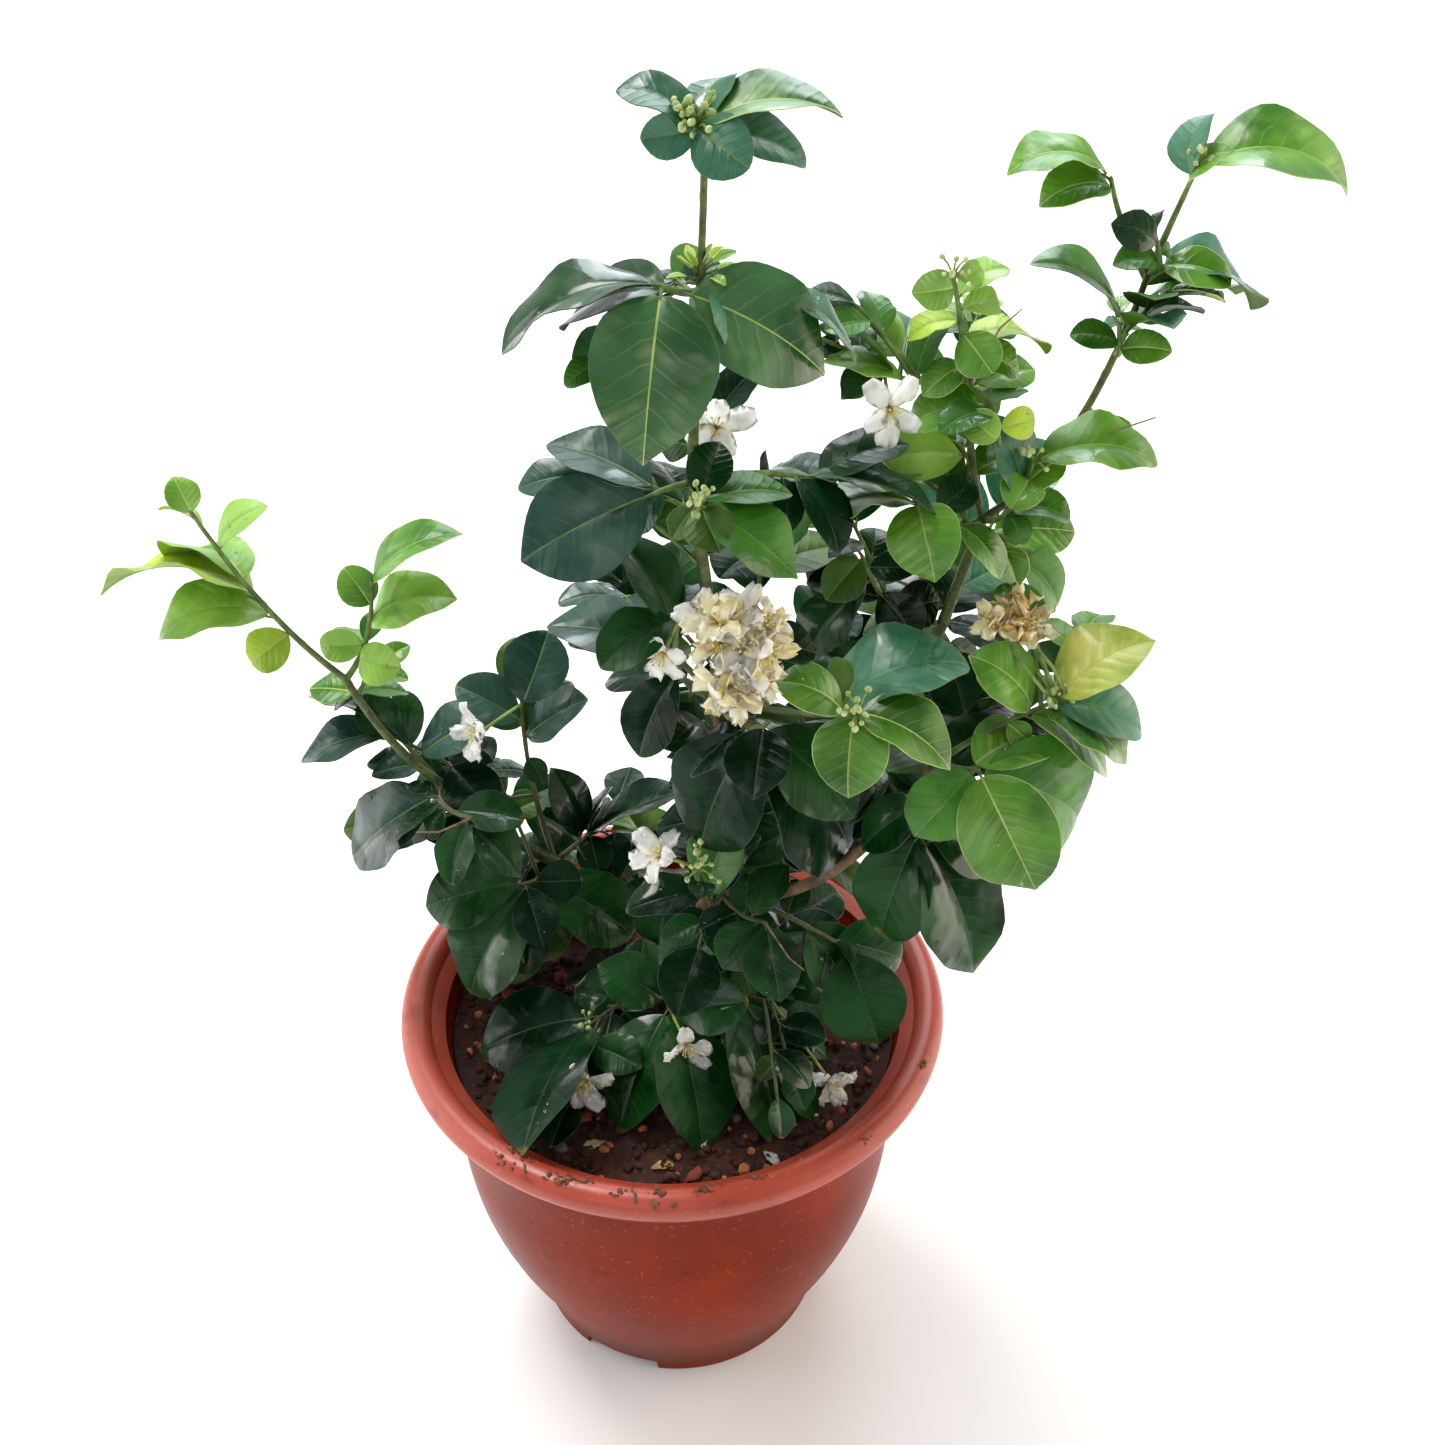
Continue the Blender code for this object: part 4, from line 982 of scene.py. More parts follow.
for name in ("pot", "soil"):
    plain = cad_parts[name].data
    corners = [vert.co for vert in plain.vertices]
    add_obstacle(corners, [tuple(face.vertices) for face in plain.polygons], name, "twig")
for name, (line, widths) in limb_lines.items():
    add_obstacle(*limb_shape(line, [width + margin for width in widths]), name, "twig")
stems = {}
for name, (fork, tip, leave, tint, low, arch, leaves) in shoots.items():
    stem = bow(*off_fork(fork, leave), Vector(tip) * MM, stem_steps)
    widths = [1.0 * MM] + [(1.6 - 0.12 * k) * MM for k in range(1, stem_steps + 1)]
    stems[name] = stem
    add_obstacle(*tube(stem, [width + margin for width in widths], 3), name, "twig")
    for flower in flowers_of.get(name, ()):
        for flower_part in flower_parts(stem[-1], flower):
            add_obstacle(*flower_part, name, "twig")

# The longest leaves of the whole plant grow first, so that the small ones make room for them.
grown, rachises = [], {name: [] for name in shoots}
turns = [(-row[2], name, order) for name in shoots for order, row in enumerate(shoots[name][6])]
for length, name, order in sorted(turns):
    low, arch, leaves = shoots[name][4:]
    stem = stems[name]
    spot = min(low + (1 - low) * (order + 1) / len(leaves), 0.98) * stem_steps
    start = stem[int(spot)].lerp(stem[int(spot) + 1], spot - int(spot))
    rachis, leaflets = grow(name, start, leaves[order], arch, Random(f"{name} {order}"))
    if rachis:
        rachises[name].append(rachis)
    grown += [(name, order, leaflet) for leaflet in leaflets]

# The side twigs: finer twigs that fill the crown between the large leaves. Each grows from a shoot
# or a limb and bears a few smaller leaves on alternate sides and one at its end. A leaf with no
# room is left out.
twig_steps, twig_arch, twig_tries = 4, 45, 5

# A row holds what the twig grows from, where on it, the twig's compass angle and rise, its reach
# and the size of its leaves in mm, and the number that settles its leaves. The rows were picked
# from random ones by a scratch search for those that fill the crown as the photo shows it.
side_twigs = (
    ("right_under", 0.53, 75, 5, 50, 44, 906), ("low_right", 0.22, 55, 0, 50, 44, 470),
    ("right_back", 0.72, 50, 45, 50, 44, 823), ("ground_front", 0.23, 330, -15, 60, 40, 762),
    ("left_foot", 0.64, 40, 15, 32, 40, 925), ("back_arm", 0.65, 235, 60, 40, 44, 170),
    ("low_left", 0.42, 130, 55, 60, 40, 504), ("left_arm", 0.51, 80, -25, 50, 44, 40),
    ("east_left", 0.84, 80, 10, 26, 32, 503), ("right_inner", 0.24, 85, 60, 32, 34, 575),
    ("right_back", 0.36, 315, -40, 14, 40, 958), ("left_over", 0.68, 5, -40, 40, 44, 422),
    ("centre_dark", 0.29, 60, -40, 50, 36, 317), ("right_foot", 0.67, 310, -30, 26, 44, 374),
    ("rear_left", 0.91, 80, -40, 60, 44, 331), ("leader_mid", 0.6, 110, 50, 32, 36, 919),
    ("middle", 0.43, 150, 60, 60, 28, 34), ("ground_right", 0.98, 290, -35, 32, 24, 60),
    ("ground_right", 0.32, 45, 5, 60, 44, 304), ("right_inner", 0.3, 10, -35, 32, 34, 567),
    ("whorl", 0.31, 110, -15, 14, 28, 401), ("rear_left", 0.52, 315, -45, 50, 44, 222),
    ("back_arm", 0.3, 110, -35, 26, 40, 666), ("leader_mid", 0.87, 150, 15, 26, 40, 651),
    ("right_front", 0.88, 110, 65, 26, 34, 427), ("east_left", 0.58, 145, 35, 40, 24, 359),
    ("ground_left", 0.66, 10, -35, 14, 44, 214), ("east_low", 0.72, 85, 40, 32, 28, 857),
    ("leader_mid", 0.64, 185, 45, 60, 36, 152), ("left_foot", 0.53, 120, -5, 60, 44, 917),
    ("ground_back", 0.69, 150, -5, 26, 44, 578), ("centre_left", 0.32, 90, -40, 50, 44, 776),
    ("left_arm", 0.46, 175, 45, 50, 32, 304), ("upper_back", 0.95, 145, 25, 40, 40, 883),
    ("right_foot", 0.7, 10, 30, 26, 40, 332), ("inner_left", 0.41, 185, -15, 60, 36, 280),
    ("right_front", 0.98, 60, 25, 32, 34, 410), ("back_right", 0.71, 40, -20, 50, 44, 643),
    ("right_front", 0.55, 40, -25, 32, 24, 546), ("inner_left", 0.72, 100, 55, 26, 36, 173),
    ("ground_left", 0.29, 120, -25, 14, 40, 289), ("east_left", 0.85, 160, 15, 60, 24, 769),
    ("right_inner", 0.16, 155, 35, 32, 34, 136), ("tall_cluster", 0.99, 70, -25, 26, 24, 873),
    ("back_arm", 0.58, 260, 30, 20, 40, 655), ("left_arm", 0.13, 245, -35, 40, 32, 371),
    ("rear_left", 0.87, 75, -20, 50, 36, 703), ("ground_right", 0.61, 250, -30, 26, 36, 171),
    ("left_back", 0.9, 250, 25, 20, 28, 99), ("low_right", 0.24, 75, 15, 60, 36, 452),
    ("right_foot", 0.65, 15, -45, 20, 44, 979), ("left_tip", 0.88, 100, -35, 26, 24, 20),
    ("ground_back", 0.61, 270, -5, 32, 24, 602), ("tall_cluster", 0.73, 340, 55, 26, 34, 44),
    ("east_left", 0.91, 155, 10, 20, 24, 157), ("upper_right", 0.95, 160, -30, 20, 44, 966),
    ("left_arm", 0.39, 140, -10, 32, 28, 171), ("right_front", 0.76, 80, -15, 26, 34, 8),
    ("east_top", 0.28, 75, 5, 32, 24, 819), ("left_tip", 0.88, 35, 45, 16, 22, 405),
    ("east_left", 0.68, 165, 50, 36, 26, 204), ("tall_low", 0.75, 20, -45, 20, 22, 134),
    ("tall_side", 0.39, 40, -30, 32, 30, 373), ("whorl", 0.14, 120, 0, 20, 22, 461),
    ("whorl", 0.61, 205, -40, 32, 18, 425), ("tall_cluster", 0.67, 80, 10, 20, 18, 295),
    ("east_low", 0.42, 135, 45, 12, 34, 762), ("left_fork", 0.21, 55, 50, 8, 22, 62),
    ("ground_right", 0.58, 335, -40, 18, 50, 100), ("ground_back", 0.44, 155, -45, 12, 44, 345),
    ("left_foot", 0.66, 185, -30, 46, 44, 204), ("ground_right", 0.63, 305, -20, 46, 24, 978),
    ("ground_left", 0.85, 255, -15, 46, 38, 69), ("ground_left", 0.63, 185, -20, 38, 38, 164),
    ("ground_right", 0.92, 275, -5, 56, 24, 44), ("leader_foot", 0.95, 255, -15, 30, 40, 28),
    ("right_foot", 0.4, 270, -20, 30, 40, 33), ("leader_foot", 0.8, 285, 0, 26, 40, 22),
    ("right_foot", 0.22, 285, 0, 24, 38, 9),
)


def side_twig(row):
    """The points of a side twig, and the foot and the row of each of its leaves."""
    name, share, compass, rise, reach, size, seed = row
    stem = stems[name] if name in stems else limb_lines[name][0]
    spot = share * (len(stem) - 1)
    low = min(int(spot), len(stem) - 2)
    start = stem[low].lerp(stem[low + 1], spot - low)
    way = heading(compass, rise)
    twig = bow(start, (way + Vector((0, 0, 0.35))).normalized(), start + way * reach * MM, twig_steps)
    dice = Random(seed)
    leaves = []
    count = 3 + round(reach / 16)
    for k in range(count):
        place = 0.25 + 0.75 * k / (count - 1)
        near = min(twig_steps - 1, int(place * twig_steps))
        foot = twig[near].lerp(twig[near + 1], place * twig_steps - near)
        side = 0 if k == count - 1 else dice.uniform(38, 80) * (1 if k % 2 else -1)
        tilt = max(-70, min(55, rise * 0.5 + dice.uniform(-34, 16)))
        length = size * dice.uniform(0.72, 1.12)
        width = length * dice.uniform(0.58, 0.68)
        leaves.append((foot, (compass + side, tilt, length, width, dice.uniform(-22, 22))))
    return twig, leaves


def within_box(verts):
    """Whether every point is inside the box of the CAD solids, seen from above."""
    low, high = cad_box
    return all(low[k] < vert[k] < high[k] for vert in verts for k in (0, 1))


twig_lines, twig_leaves = [], []
for row in side_twigs:
    name = row[0]
    twig, leaves = side_twig(row)
    twig_lines.append(twig)
    add_obstacle(*tube(twig, [1.0 * MM] * (twig_steps + 1), 3), name, "twig")
    for k, (foot, leaf) in enumerate(leaves):
        dice = Random(f"{row} {k}")
        for attempt in range(twig_tries):
            turn = (dice.random() - 0.5) * 9 * attempt
            tilt = (dice.random() - 0.5) * 8 * attempt
            leaflet = leaflet_row(foot, leaf, turn, tilt, 1 - 0.05 * attempt, twig_arch, dice)[1][0]
            whole = blade(*leaflet, swell=0, first=1)
            if within_box(whole[0]) and clear_of(*whole, lambda owner, kind: kind != "outer"):
                twig_leaves.append((name, k, leaflet))
                add_obstacle(*whole, name, "whole")
                break

# The shoots' stems and the leaf stalks: slim green shoots that grow out of the limbs' tips, the
# rachises of the leaves with several leaflets, and a short stalk under every blade. Young stems
# are green, with some brown near their foot.
fine_steps = 8
fine_stem_steps = 12


def midrib(leaflet, shares):
    """Place, side and lift of a blade's middle line at shares of its length."""
    base, along, up, length, width, bend = leaflet[:6]
    side = along.cross(up)
    place, before, found = base.copy(), 0.0, []
    for share in shares:
        middle = radians(bend) * (before + share) / 2
        place = place + (along * cos(middle) - up * sin(middle)) * (share - before) * length
        angle = radians(bend) * share
        found.append((place.copy(), side, up * cos(angle) + along * sin(angle)))
        before = share
    return found


def stalk_share(leaflet):
    """The share of a leaflet's length that is stalk."""
    return 0.075 if leaflet[6] is stalked_rings else 0.035


shoot_shapes = []
for order, (name, row) in enumerate(shoots.items()):
    fork_point, fork_radius = forks[row[0]]
    start, way = off_fork(row[0], row[2])
    tip = Vector(row[1]) * MM
    line = [fork_point + way * fork_radius * 0.4] + bow(start, way, tip, fine_stem_steps)
    line.append(tip + (tip - line[-2]).normalized() * 1.2 * MM)
    widths = [1.5 * MM] + [(1.6 - 0.06 * k) * MM for k in range(fine_stem_steps + 1)] + [0.4 * MM]
    shoot_shapes.append(barked(line, widths, ring=2.2 * MM, sides=9, depth=0.06, seed=order + 40))
for rachis in sum(rachises.values(), []):
    fine = bow(rachis[0], (rachis[1] - rachis[0]).normalized(), rachis[-1], fine_steps)
    shoot_shapes.append(tube(fine, [(0.95 - 0.04 * k) * MM for k in range(fine_steps + 1)], 6))
for twig in twig_lines:
    fine = bow(twig[0], (twig[1] - twig[0]).normalized(), twig[-1], fine_steps)
    shoot_shapes.append(tube(fine, [(1.15 - 0.05 * k) * MM for k in range(fine_steps + 1)], 7))
for name, order, leaflet in grown + twig_leaves:
    share = stalk_share(leaflet)
    line = [place for place, side, lift in midrib(leaflet, [share * k / 3 for k in range(4)])]
    line.append(line[-1] + (line[-1] - line[-2]).normalized() * 1.5 * MM)
    shoot_shapes.append(tube(line, [width * MM for width in (0.95, 0.68, 0.62, 0.6, 0.4)], 6))
shoot_green = finish("shoot_green", (66, 92, 34), (112, 138, 66), 150.0, (0.4, 0.55), 0.0002, 1200.0)
lay_over(shoot_green, (66, 58, 36), ranged(shoot_green, height_of(shoot_green), 0.44, 0.30, 0, 0.75))
speckled(shoot_green, (104, 88, 62), 60.0, 4.0, 0.5, 0.7, 0.5)
joined("green_shoots", shoot_shapes, [shoot_green])

# The leaves: thick glossy blades, broadest near the middle and folded a little at the midrib.
# The side veins are sunk, the margin is a thin pale line and the underside is dull and paler.
# Old leaves are almost black-green, and those low and inside the crown darker still as painted
# shade; the upper ones are blue-green and the young ones yellow-green.
more_arch, more_width = 40, 1.12
blade_thick = 0.5 * MM
vein_pairs = 7.5
vein_depth, pucker_depth = 0.3 * MM, 2.2 * MM


def arched(leaflet, more):
    """The same leaflet between the same ends, bent further by some degrees."""
    base, along, up, length, width, bend, rings = leaflet
    half = radians(more) / 2
    lifted = along * cos(half) + up * sin(half)
    return (base, lifted, up * cos(half) - along * sin(half), length, width, bend + more, rings)


def as_shown(name, leaflet):
    """A mass's leaflet as the scene shows it: those of the bright masses arch further."""
    return arched(leaflet, more_arch) if shoots[name][3] == "bright" else leaflet


def rolled(leaflet, turn):
    """The same leaflet turned about its own length by some degrees."""
    base, along, up, length, width, bend, rings = leaflet
    side = along.cross(up)
    return (base, along, up * cos(radians(turn)) + side * sin(radians(turn)), length, width, bend, rings)


def leaf_shape(leaflet, faces_of, dice, form_of=None, rib_wide=0.42 * MM):
    """A closed blade of (vertices, faces, material numbers, leaf coordinates)."""
    length, width = leaflet[3:5]
    blade_rows = 11 if length < 27 * MM else 14 if length < 44 * MM else 20
    first = stalk_share(leaflet)
    shares = [first + (1 - first) * (1 - cos(pi * k / blade_rows)) / 2 for k in range(blade_rows + 1)]
    belly, blunt = dice.uniform(0.84, 1.1), dice.uniform(0.48, 0.62)
    cup, roll = dice.uniform(0.12, 0.36), dice.uniform(0.1, 0.5)
    twist, wave = radians(dice.uniform(-14, 14)), dice.uniform(0.015, 0.055) * width
    point = dice.uniform(0.05, 0.42)
    if form_of:
        belly, blunt, cup, point = form_of
    width *= more_width
    waves, phase = dice.uniform(1.4, 2.6), dice.uniform(0, 2 * pi)
    lean = dice.uniform(-0.05, 0.05)
    verts, places, middles = [], [], midrib(leaflet, shares)
    for k, (place, side, lift) in enumerate(middles[:-1]):
        share = (shares[k] - first) / (1 - first)
        form = sin(pi * min(max(share, 0.004), 0.998) ** belly) ** (blunt + point * share**3)
        form *= 1 - 0.25 * (1 - share) ** 5
        half = max(width / 2 * form, 0.7 * MM)
        turned_side = side * cos(twist * share) + lift * sin(twist * share)
        turned_lift = lift * cos(twist * share) - side * sin(twist * share)
        rib = min(rib_wide * (1 - 0.6 * share) / half, 0.3)
        rim = 1 - min(0.12, 0.28 * MM / half)
        across = (-1, -rim, -0.66, -0.33, -rib, 0, rib, 0.33, 0.66, rim, 1)
        for top in (True, False):
            for x in across if top else reversed(across):
                fall = cup * (abs(x) - roll * x * x) * half
                ripple = wave * form * x * x * sin(2 * pi * waves * share + phase + (2.2 if x > 0 else 0))
                deep = blade_thick / 2 * (1 - 0.35 * abs(x)) * (1 if top else -1)
                if x == 0:
                    deep -= (0.25 if top else 0.5) * MM * (1 - 0.6 * share)
                height = fall + ripple + deep
                verts.append(place + turned_side * (x + lean * (1 - x * x)) * half + turned_lift * height)
                places.append((0.5 + 0.5 * x * form, share))
    verts.append(middles[-1][0] + middles[-1][2] * 0.1 * MM)
    places.append((0.5, 1.0))
    face, under, rim, rib, under_rib = faces_of
    strip = [rim] + [face] * 3 + [rib] * 2 + [face] * 3 + [rim]
    strip += [rim] + [under] * 4 + [under_rib] * 2 + [under] * 4 + [rim]
    around_edge = len(strip)
    faces, numbers = [], []
    for k in range(blade_rows - 1):
        for j in range(around_edge):
            a, b = k * around_edge + j, k * around_edge + (j + 1) % around_edge
            faces.append((b, a, a + around_edge, b + around_edge))
            numbers.append(strip[j])
    last = (blade_rows - 1) * around_edge
    for j in range(around_edge):
        faces.append((last + (j + 1) % around_edge, last + j, len(verts) - 1))
        numbers.append(strip[j])
    faces.append(tuple(range(around_edge)))
    numbers.append(rib)
    return verts, faces, numbers, places


def leaf_places(material):
    """How far across and how far along its leaf or petal a spot lies, as two values from 0 to 1."""
    where = added(material, "UVMap", {}, uv_map="leaf").outputs["UV"]
    apart = added(material, "SeparateXYZ", {"Vector": where})
    return apart.outputs["X"], apart.outputs["Y"]


def leaf_finish(name, dark, light, vein, roughness, wet, streaks=0.2, shine=0.3):
    """A blade's finish: two greens in clouds, faint side veins, pale streaks and wet gloss in places."""
    material = finish(name, dark, light, 34.0, roughness, 0.00008, 700.0)
    links, shader = material.node_tree.links, shader_of(material)
    shader.inputs["Specular IOR Level"].default_value = shine
    shader.inputs["Coat Roughness"].default_value = 0.1
    across, lengthwise = leaf_places(material)
    off = combined(material, "ABSOLUTE", combined(material, "SUBTRACT", across, 0.5))
    waver = ranged(material, spots(material, 90.0), 0.3, 0.7, -0.02, 0.02)
    slant = combined(material, "SUBTRACT", lengthwise, combined(material, "MULTIPLY", off, 0.5))
    slant = combined(material, "ADD", slant, waver)
    stripes = combined(material, "PINGPONG", combined(material, "MULTIPLY", slant, 2 * vein_pairs), 1.0)
    on_vein, near_rib = ranged(material, stripes, 0.13, 0.0), ranged(material, off, 0.4, 0.05, 0.04, 0.26)
    lay_over(material, vein, combined(material, "MULTIPLY", on_vein, near_rib))
    between = ranged(material, stripes, 0.35, 0.8)
    in_places = ranged(material, spots(material, 60.0, 4.0), 0.5, 0.72, 0, streaks)
    lay_over(material, vein, combined(material, "MULTIPLY", between, in_places))
    ragged = ranged(material, spots(material, 150.0, 3.0), 0.3, 0.7, -0.05, 0.05)
    near_tip = combined(material, "ADD", lengthwise, ragged)
    lay_over(material, (138, 116, 60), ranged(material, near_tip, 0.96, 1.01, 0, 0.5))
    half = ranged(material, across, 0.46, 0.54)
    cloud = ranged(material, spots(material, 18.0, 1.0), 0.45, 0.6, 0, streaks * 0.9)
    lay_over(material, light, combined(material, "MULTIPLY", half, cloud))
    wet_places = ranged(material, spots(material, 30.0, 3.0), 0.52, 0.6, 0, wet)
    links.new(wet_places, shader.inputs["Coat Weight"])
    grained = shader.inputs["Normal"].links[0].from_socket
    sunk = bumped(material, ranged(material, stripes, 0.0, 0.5), vein_depth, 0.3, grained)
    puckered = bumped(material, spots(material, 85.0, 1.0), pucker_depth, 0.5, sunk)
    links.new(puckered, shader.inputs["Normal"])
    return material


# A row holds a blade's dark and light green, the colour of its veins, its roughness from and to,
# how wet it is, how strong its pale streaks are and its shine.
blade_finishes = {
    # The night and deep blades are partly painted shade: darker than the leaves' own green.
    "night": ((5, 30, 14), (20, 52, 30), (50, 82, 54), (0.2, 0.36), 0.75, 0.15, 0.1),
    "deep": ((10, 46, 18), (34, 76, 36), (68, 108, 60), (0.22, 0.38), 0.65, 0.18, 0.14),
    "slate": ((28, 58, 48), (52, 84, 70), (88, 120, 104), (0.24, 0.4), 0.7, 0.3, 0.24),
    "warm": ((32, 76, 36), (66, 110, 64), (158, 164, 100), (0.26, 0.42), 0.6, 0.32, 0.4),
    "moss": ((36, 86, 14), (68, 124, 36), (112, 156, 70), (0.26, 0.44), 0.6, 0.25, 0.3),
    "olive": ((40, 68, 16), (72, 102, 38), (108, 126, 68), (0.26, 0.44), 0.5, 0.25, 0.24),
    "sea": ((30, 82, 56), (62, 118, 88), (128, 168, 138), (0.26, 0.44), 0.6, 0.35, 0.44),
    "dapple": ((40, 90, 34), (84, 132, 56), (188, 194, 134), (0.26, 0.44), 0.5, 0.45, 0.5),
    "leek": ((54, 108, 16), (98, 152, 42), (170, 198, 102), (0.26, 0.46), 0.5, 0.48, 0.42),
    "fern": ((38, 82, 14), (84, 134, 38), (176, 196, 100), (0.26, 0.42), 0.6, 0.2, 0.42),
    "fresh": ((98, 148, 42), (144, 190, 76), (188, 216, 124), (0.34, 0.52), 0.35, 0.5, 0.42),
    "lime": ((128, 164, 18), (172, 202, 54), (212, 222, 112), (0.34, 0.52), 0.3, 0.5, 0.42),
    "gold": ((118, 152, 38), (208, 208, 104), (234, 230, 156), (0.34, 0.52), 0.3, 0.6, 0.42),
    "olive_under": ((50, 80, 4), (84, 114, 14), (108, 132, 44), (0.5, 0.65), 0.0, 0.1, 0.3),
    "dark_under": ((26, 50, 14), (50, 78, 28), (76, 98, 50), (0.5, 0.65), 0.0, 0.1, 0.25),
    "pale_under": ((118, 152, 44), (162, 190, 80), (182, 204, 116), (0.5, 0.65), 0.0, 0.1, 0.3),
}
paints = {name: leaf_finish(name + "_blade", *row) for name, row in blade_finishes.items()}
edge_finishes = {
    "pale_rim": ("pale_margin", (140, 166, 86), (178, 198, 122), 0.35),
    "green_rim": ("green_margin", (52, 88, 44), (84, 120, 66), 0.35),
    "dark_rim": ("dark_margin", (14, 34, 18), (36, 60, 34), 0.3),
    "pale_rib": ("pale_midrib", (140, 170, 70), (180, 200, 112), 0.35),
    "green_rib": ("green_midrib", (66, 104, 44), (112, 146, 76), 0.35),
    "dark_rib": ("dark_midrib", (22, 46, 22), (46, 74, 38), 0.3),
}
for kind, (title, dark, light_green, smooth) in edge_finishes.items():
    paints[kind] = finish(title, dark, light_green, 60.0, (smooth, 0.5))

# Which underside, margin, midrib and midrib below go with each blade.
dark_sides = ("dark_under", "dark_rim", "dark_rib", "dark_rib")
pale_sides = ("pale_under", "pale_rim", "pale_rib", "pale_rib")
sides_of = {
    "night": dark_sides,
    "deep": dark_sides,
    "slate": ("dark_under", "dark_rim", "green_rib", "dark_rib"),
    "warm": ("olive_under", "green_rim", "pale_rib", "green_rib"),
    "moss": ("olive_under", "green_rim", "green_rib", "green_rib"),
    "olive": ("dark_under", "green_rim", "green_rib", "green_rib"),
    "sea": ("olive_under", "green_rim", "green_rib", "green_rib"),
    "dapple": ("olive_under", "pale_rim", "pale_rib", "green_rib"),
    "leek": pale_sides,
    "fern": pale_sides,
    "fresh": pale_sides,
    "lime": pale_sides,
    "gold": pale_sides,
}
paint_names = list(paints)


def paints_of(blade_name):
    """The material numbers of a blade, its underside, its margin, its midrib and its midrib below."""
    return [paint_names.index(kind) for kind in (blade_name, *sides_of[blade_name])]


# The blades of each mass, leaf by leaf in the order of its row. The last one repeats.
blades_of = {
    "crown": ("sea", "sea", "sea", "sea", "dapple", "sea"),
    "whorl": ("sea", "sea", "warm", "deep", "moss", "deep", "warm"),
    "upper_left": ("sea", "olive", "slate", "slate"),
    "inner_left": ("deep", "deep", "slate", "slate", "slate"),
    "left_over": ("deep", "slate", "slate", "deep", "deep", "slate", "deep"),
    "left_under": ("slate", "deep", "deep", "deep", "deep", "deep", "deep"),
    "centre_left": ("night", "deep", "slate", "deep", "deep", "deep"),
    "centre_dark": ("night", "night", "night", "deep", "night", "slate"),
    "upper_front": ("moss", "deep", "moss", "olive", "olive", "moss"),
    "front": ("moss", "sea", "olive", "leek", "fern", "fern"),
    "ground_left": ("deep", "deep", "night", "night", "night"),
    "ground_right": ("deep", "deep", "olive", "deep"),
    "low_right": ("deep", "deep", "night", "deep", "deep"),
    "low_front": ("deep", "moss", "night", "deep"),
    "low_centre": ("night", "deep", "deep", "deep"),
    "ground_front": ("deep", "night", "deep", "deep"),
    "right_under": ("deep", "olive", "deep", "deep", "deep", "deep"),
    "right_front": ("leek", "moss", "leek", "leek", "dapple", "sea", "gold"),
    "right_nose": ("leek", "moss", "moss", "fern"),
    "left_spray": ("lime", "fresh", "lime", "fresh", "fresh", "fresh"),
    "left_fork": ("fresh", "fresh", "fresh", "leek"),
    "right_side": ("moss", "moss", "sea", "leek", "leek", "leek"),
    "right_inner": ("leek", "leek", "deep", "leek"),
    "tall_cluster": ("leek", "moss", "deep", "moss"),
    "tall_side": ("sea", "leek", "moss", "moss", "deep"),
    "tall_left": ("leek", "leek"),
    "tall_top": ("lime", "leek", "sea", "leek", "leek"),
    "east_top": ("leek", "leek", "lime", "leek", "lime", "fresh"),
    "east_left": ("lime", "moss", "leek", "moss"),
    "east_right": ("leek", "moss", "lime", "fresh"),
}
usual_blades = {"dark": ("deep", "night", "deep", "night", "olive"), "blue": ("sea",), "bright": ("leek",)}

# Blades with a form of their own: where they are broadest, how blunt they are, how cupped and how
# pointed.
forms_of = {
    ("whorl", 6): (0.74, 0.54, 0.14, 0.4), ("whorl", 3): (0.78, 0.6, 0.2, 0.3),
    ("whorl", 2): (0.82, 0.6, 0.2, 0.4), ("upper_left", 3): (0.92, 0.5, 0.2, 0.4),
    ("front", 1): (0.9, 0.5, 0.2, 0.2), ("front", 5): (0.72, 0.5, 0.3, 0.5),
    ("front", 4): (0.85, 0.55, 0.3, 0.5), ("right_front", 6): (0.8, 0.66, 0.2, 0.4),
    ("tall_top", 4): (0.85, 0.5, 0.3, 0.2), ("crown", 4): (0.9, 0.5, 0.25, 0.2),
    ("left_spray", 2): (0.8, 0.7, 0.2, 0.3), ("right_inner", 4): (0.74, 0.5, 0.3, 0.5),
    ("right_nose", 3): (0.84, 0.52, 0.24, 0.5), ("right_nose", 2): (0.9, 0.52, 0.3, 0.5),
    ("right_under", 5): (0.84, 0.54, 0.24, 0.4), ("ground_left", 4): (0.9, 0.6, 0.2, 0.4),
    ("ground_right", 1): (0.95, 0.56, 0.24, 0.3), ("ground_front", 4): (0.9, 0.56, 0.26, 0.4),
    ("ground_front", 2): (0.95, 0.56, 0.24, 0.3), ("upper_front", 5): (0.86, 0.56, 0.24, 0.5),
}

# Blades that have turned about their own length, in degrees.
turns_of = {
    ("ground_right", 0): 32, ("ground_right", 1): 42, ("ground_left", 2): -18, ("ground_left", 3): -34,
    ("ground_left", 4): -10, ("whorl", 5): 12, ("ground_front", 2): -36, ("ground_front", 4): 34,
    ("low_left", 0): 24, ("low_left", 2): -30, ("low_left", 3): -24, ("centre_dark", 1): -26,
    ("centre_dark", 2): 40, ("centre_dark", 3): 30, ("right_under", 4): -20, ("right_under", 5): 6,
    ("front", 0): 24, ("front", 1): 16, ("right_nose", 0): 28, ("right_nose", 1): 28,
    ("whorl", 2): 22, ("low_right", 3): 20, ("right_side", 5): 8,
}

for tint, title in (("dark", "dark_foliage"), ("blue", "upper_foliage"), ("bright", "bright_foliage")):
    names = [name for name in shoots if shoots[name][3] == tint]
    shapes = []
    for name, order, leaflet in grown:
        if name not in names:
            continue
        dice = Random(f"{name} {order} blade")
        row = blades_of.get(name, usual_blades[tint])
        blade_name = row[min(order, len(row) - 1)] if name in blades_of else dice.choice(row)
        shown = as_shown(name, rolled(leaflet, turns_of.get((name, order), 0)))
        shapes.append(leaf_shape(shown, paints_of(blade_name), dice, forms_of.get((name, order))))
    foliage = joined(title, shapes, paints.values())
    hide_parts(*names)
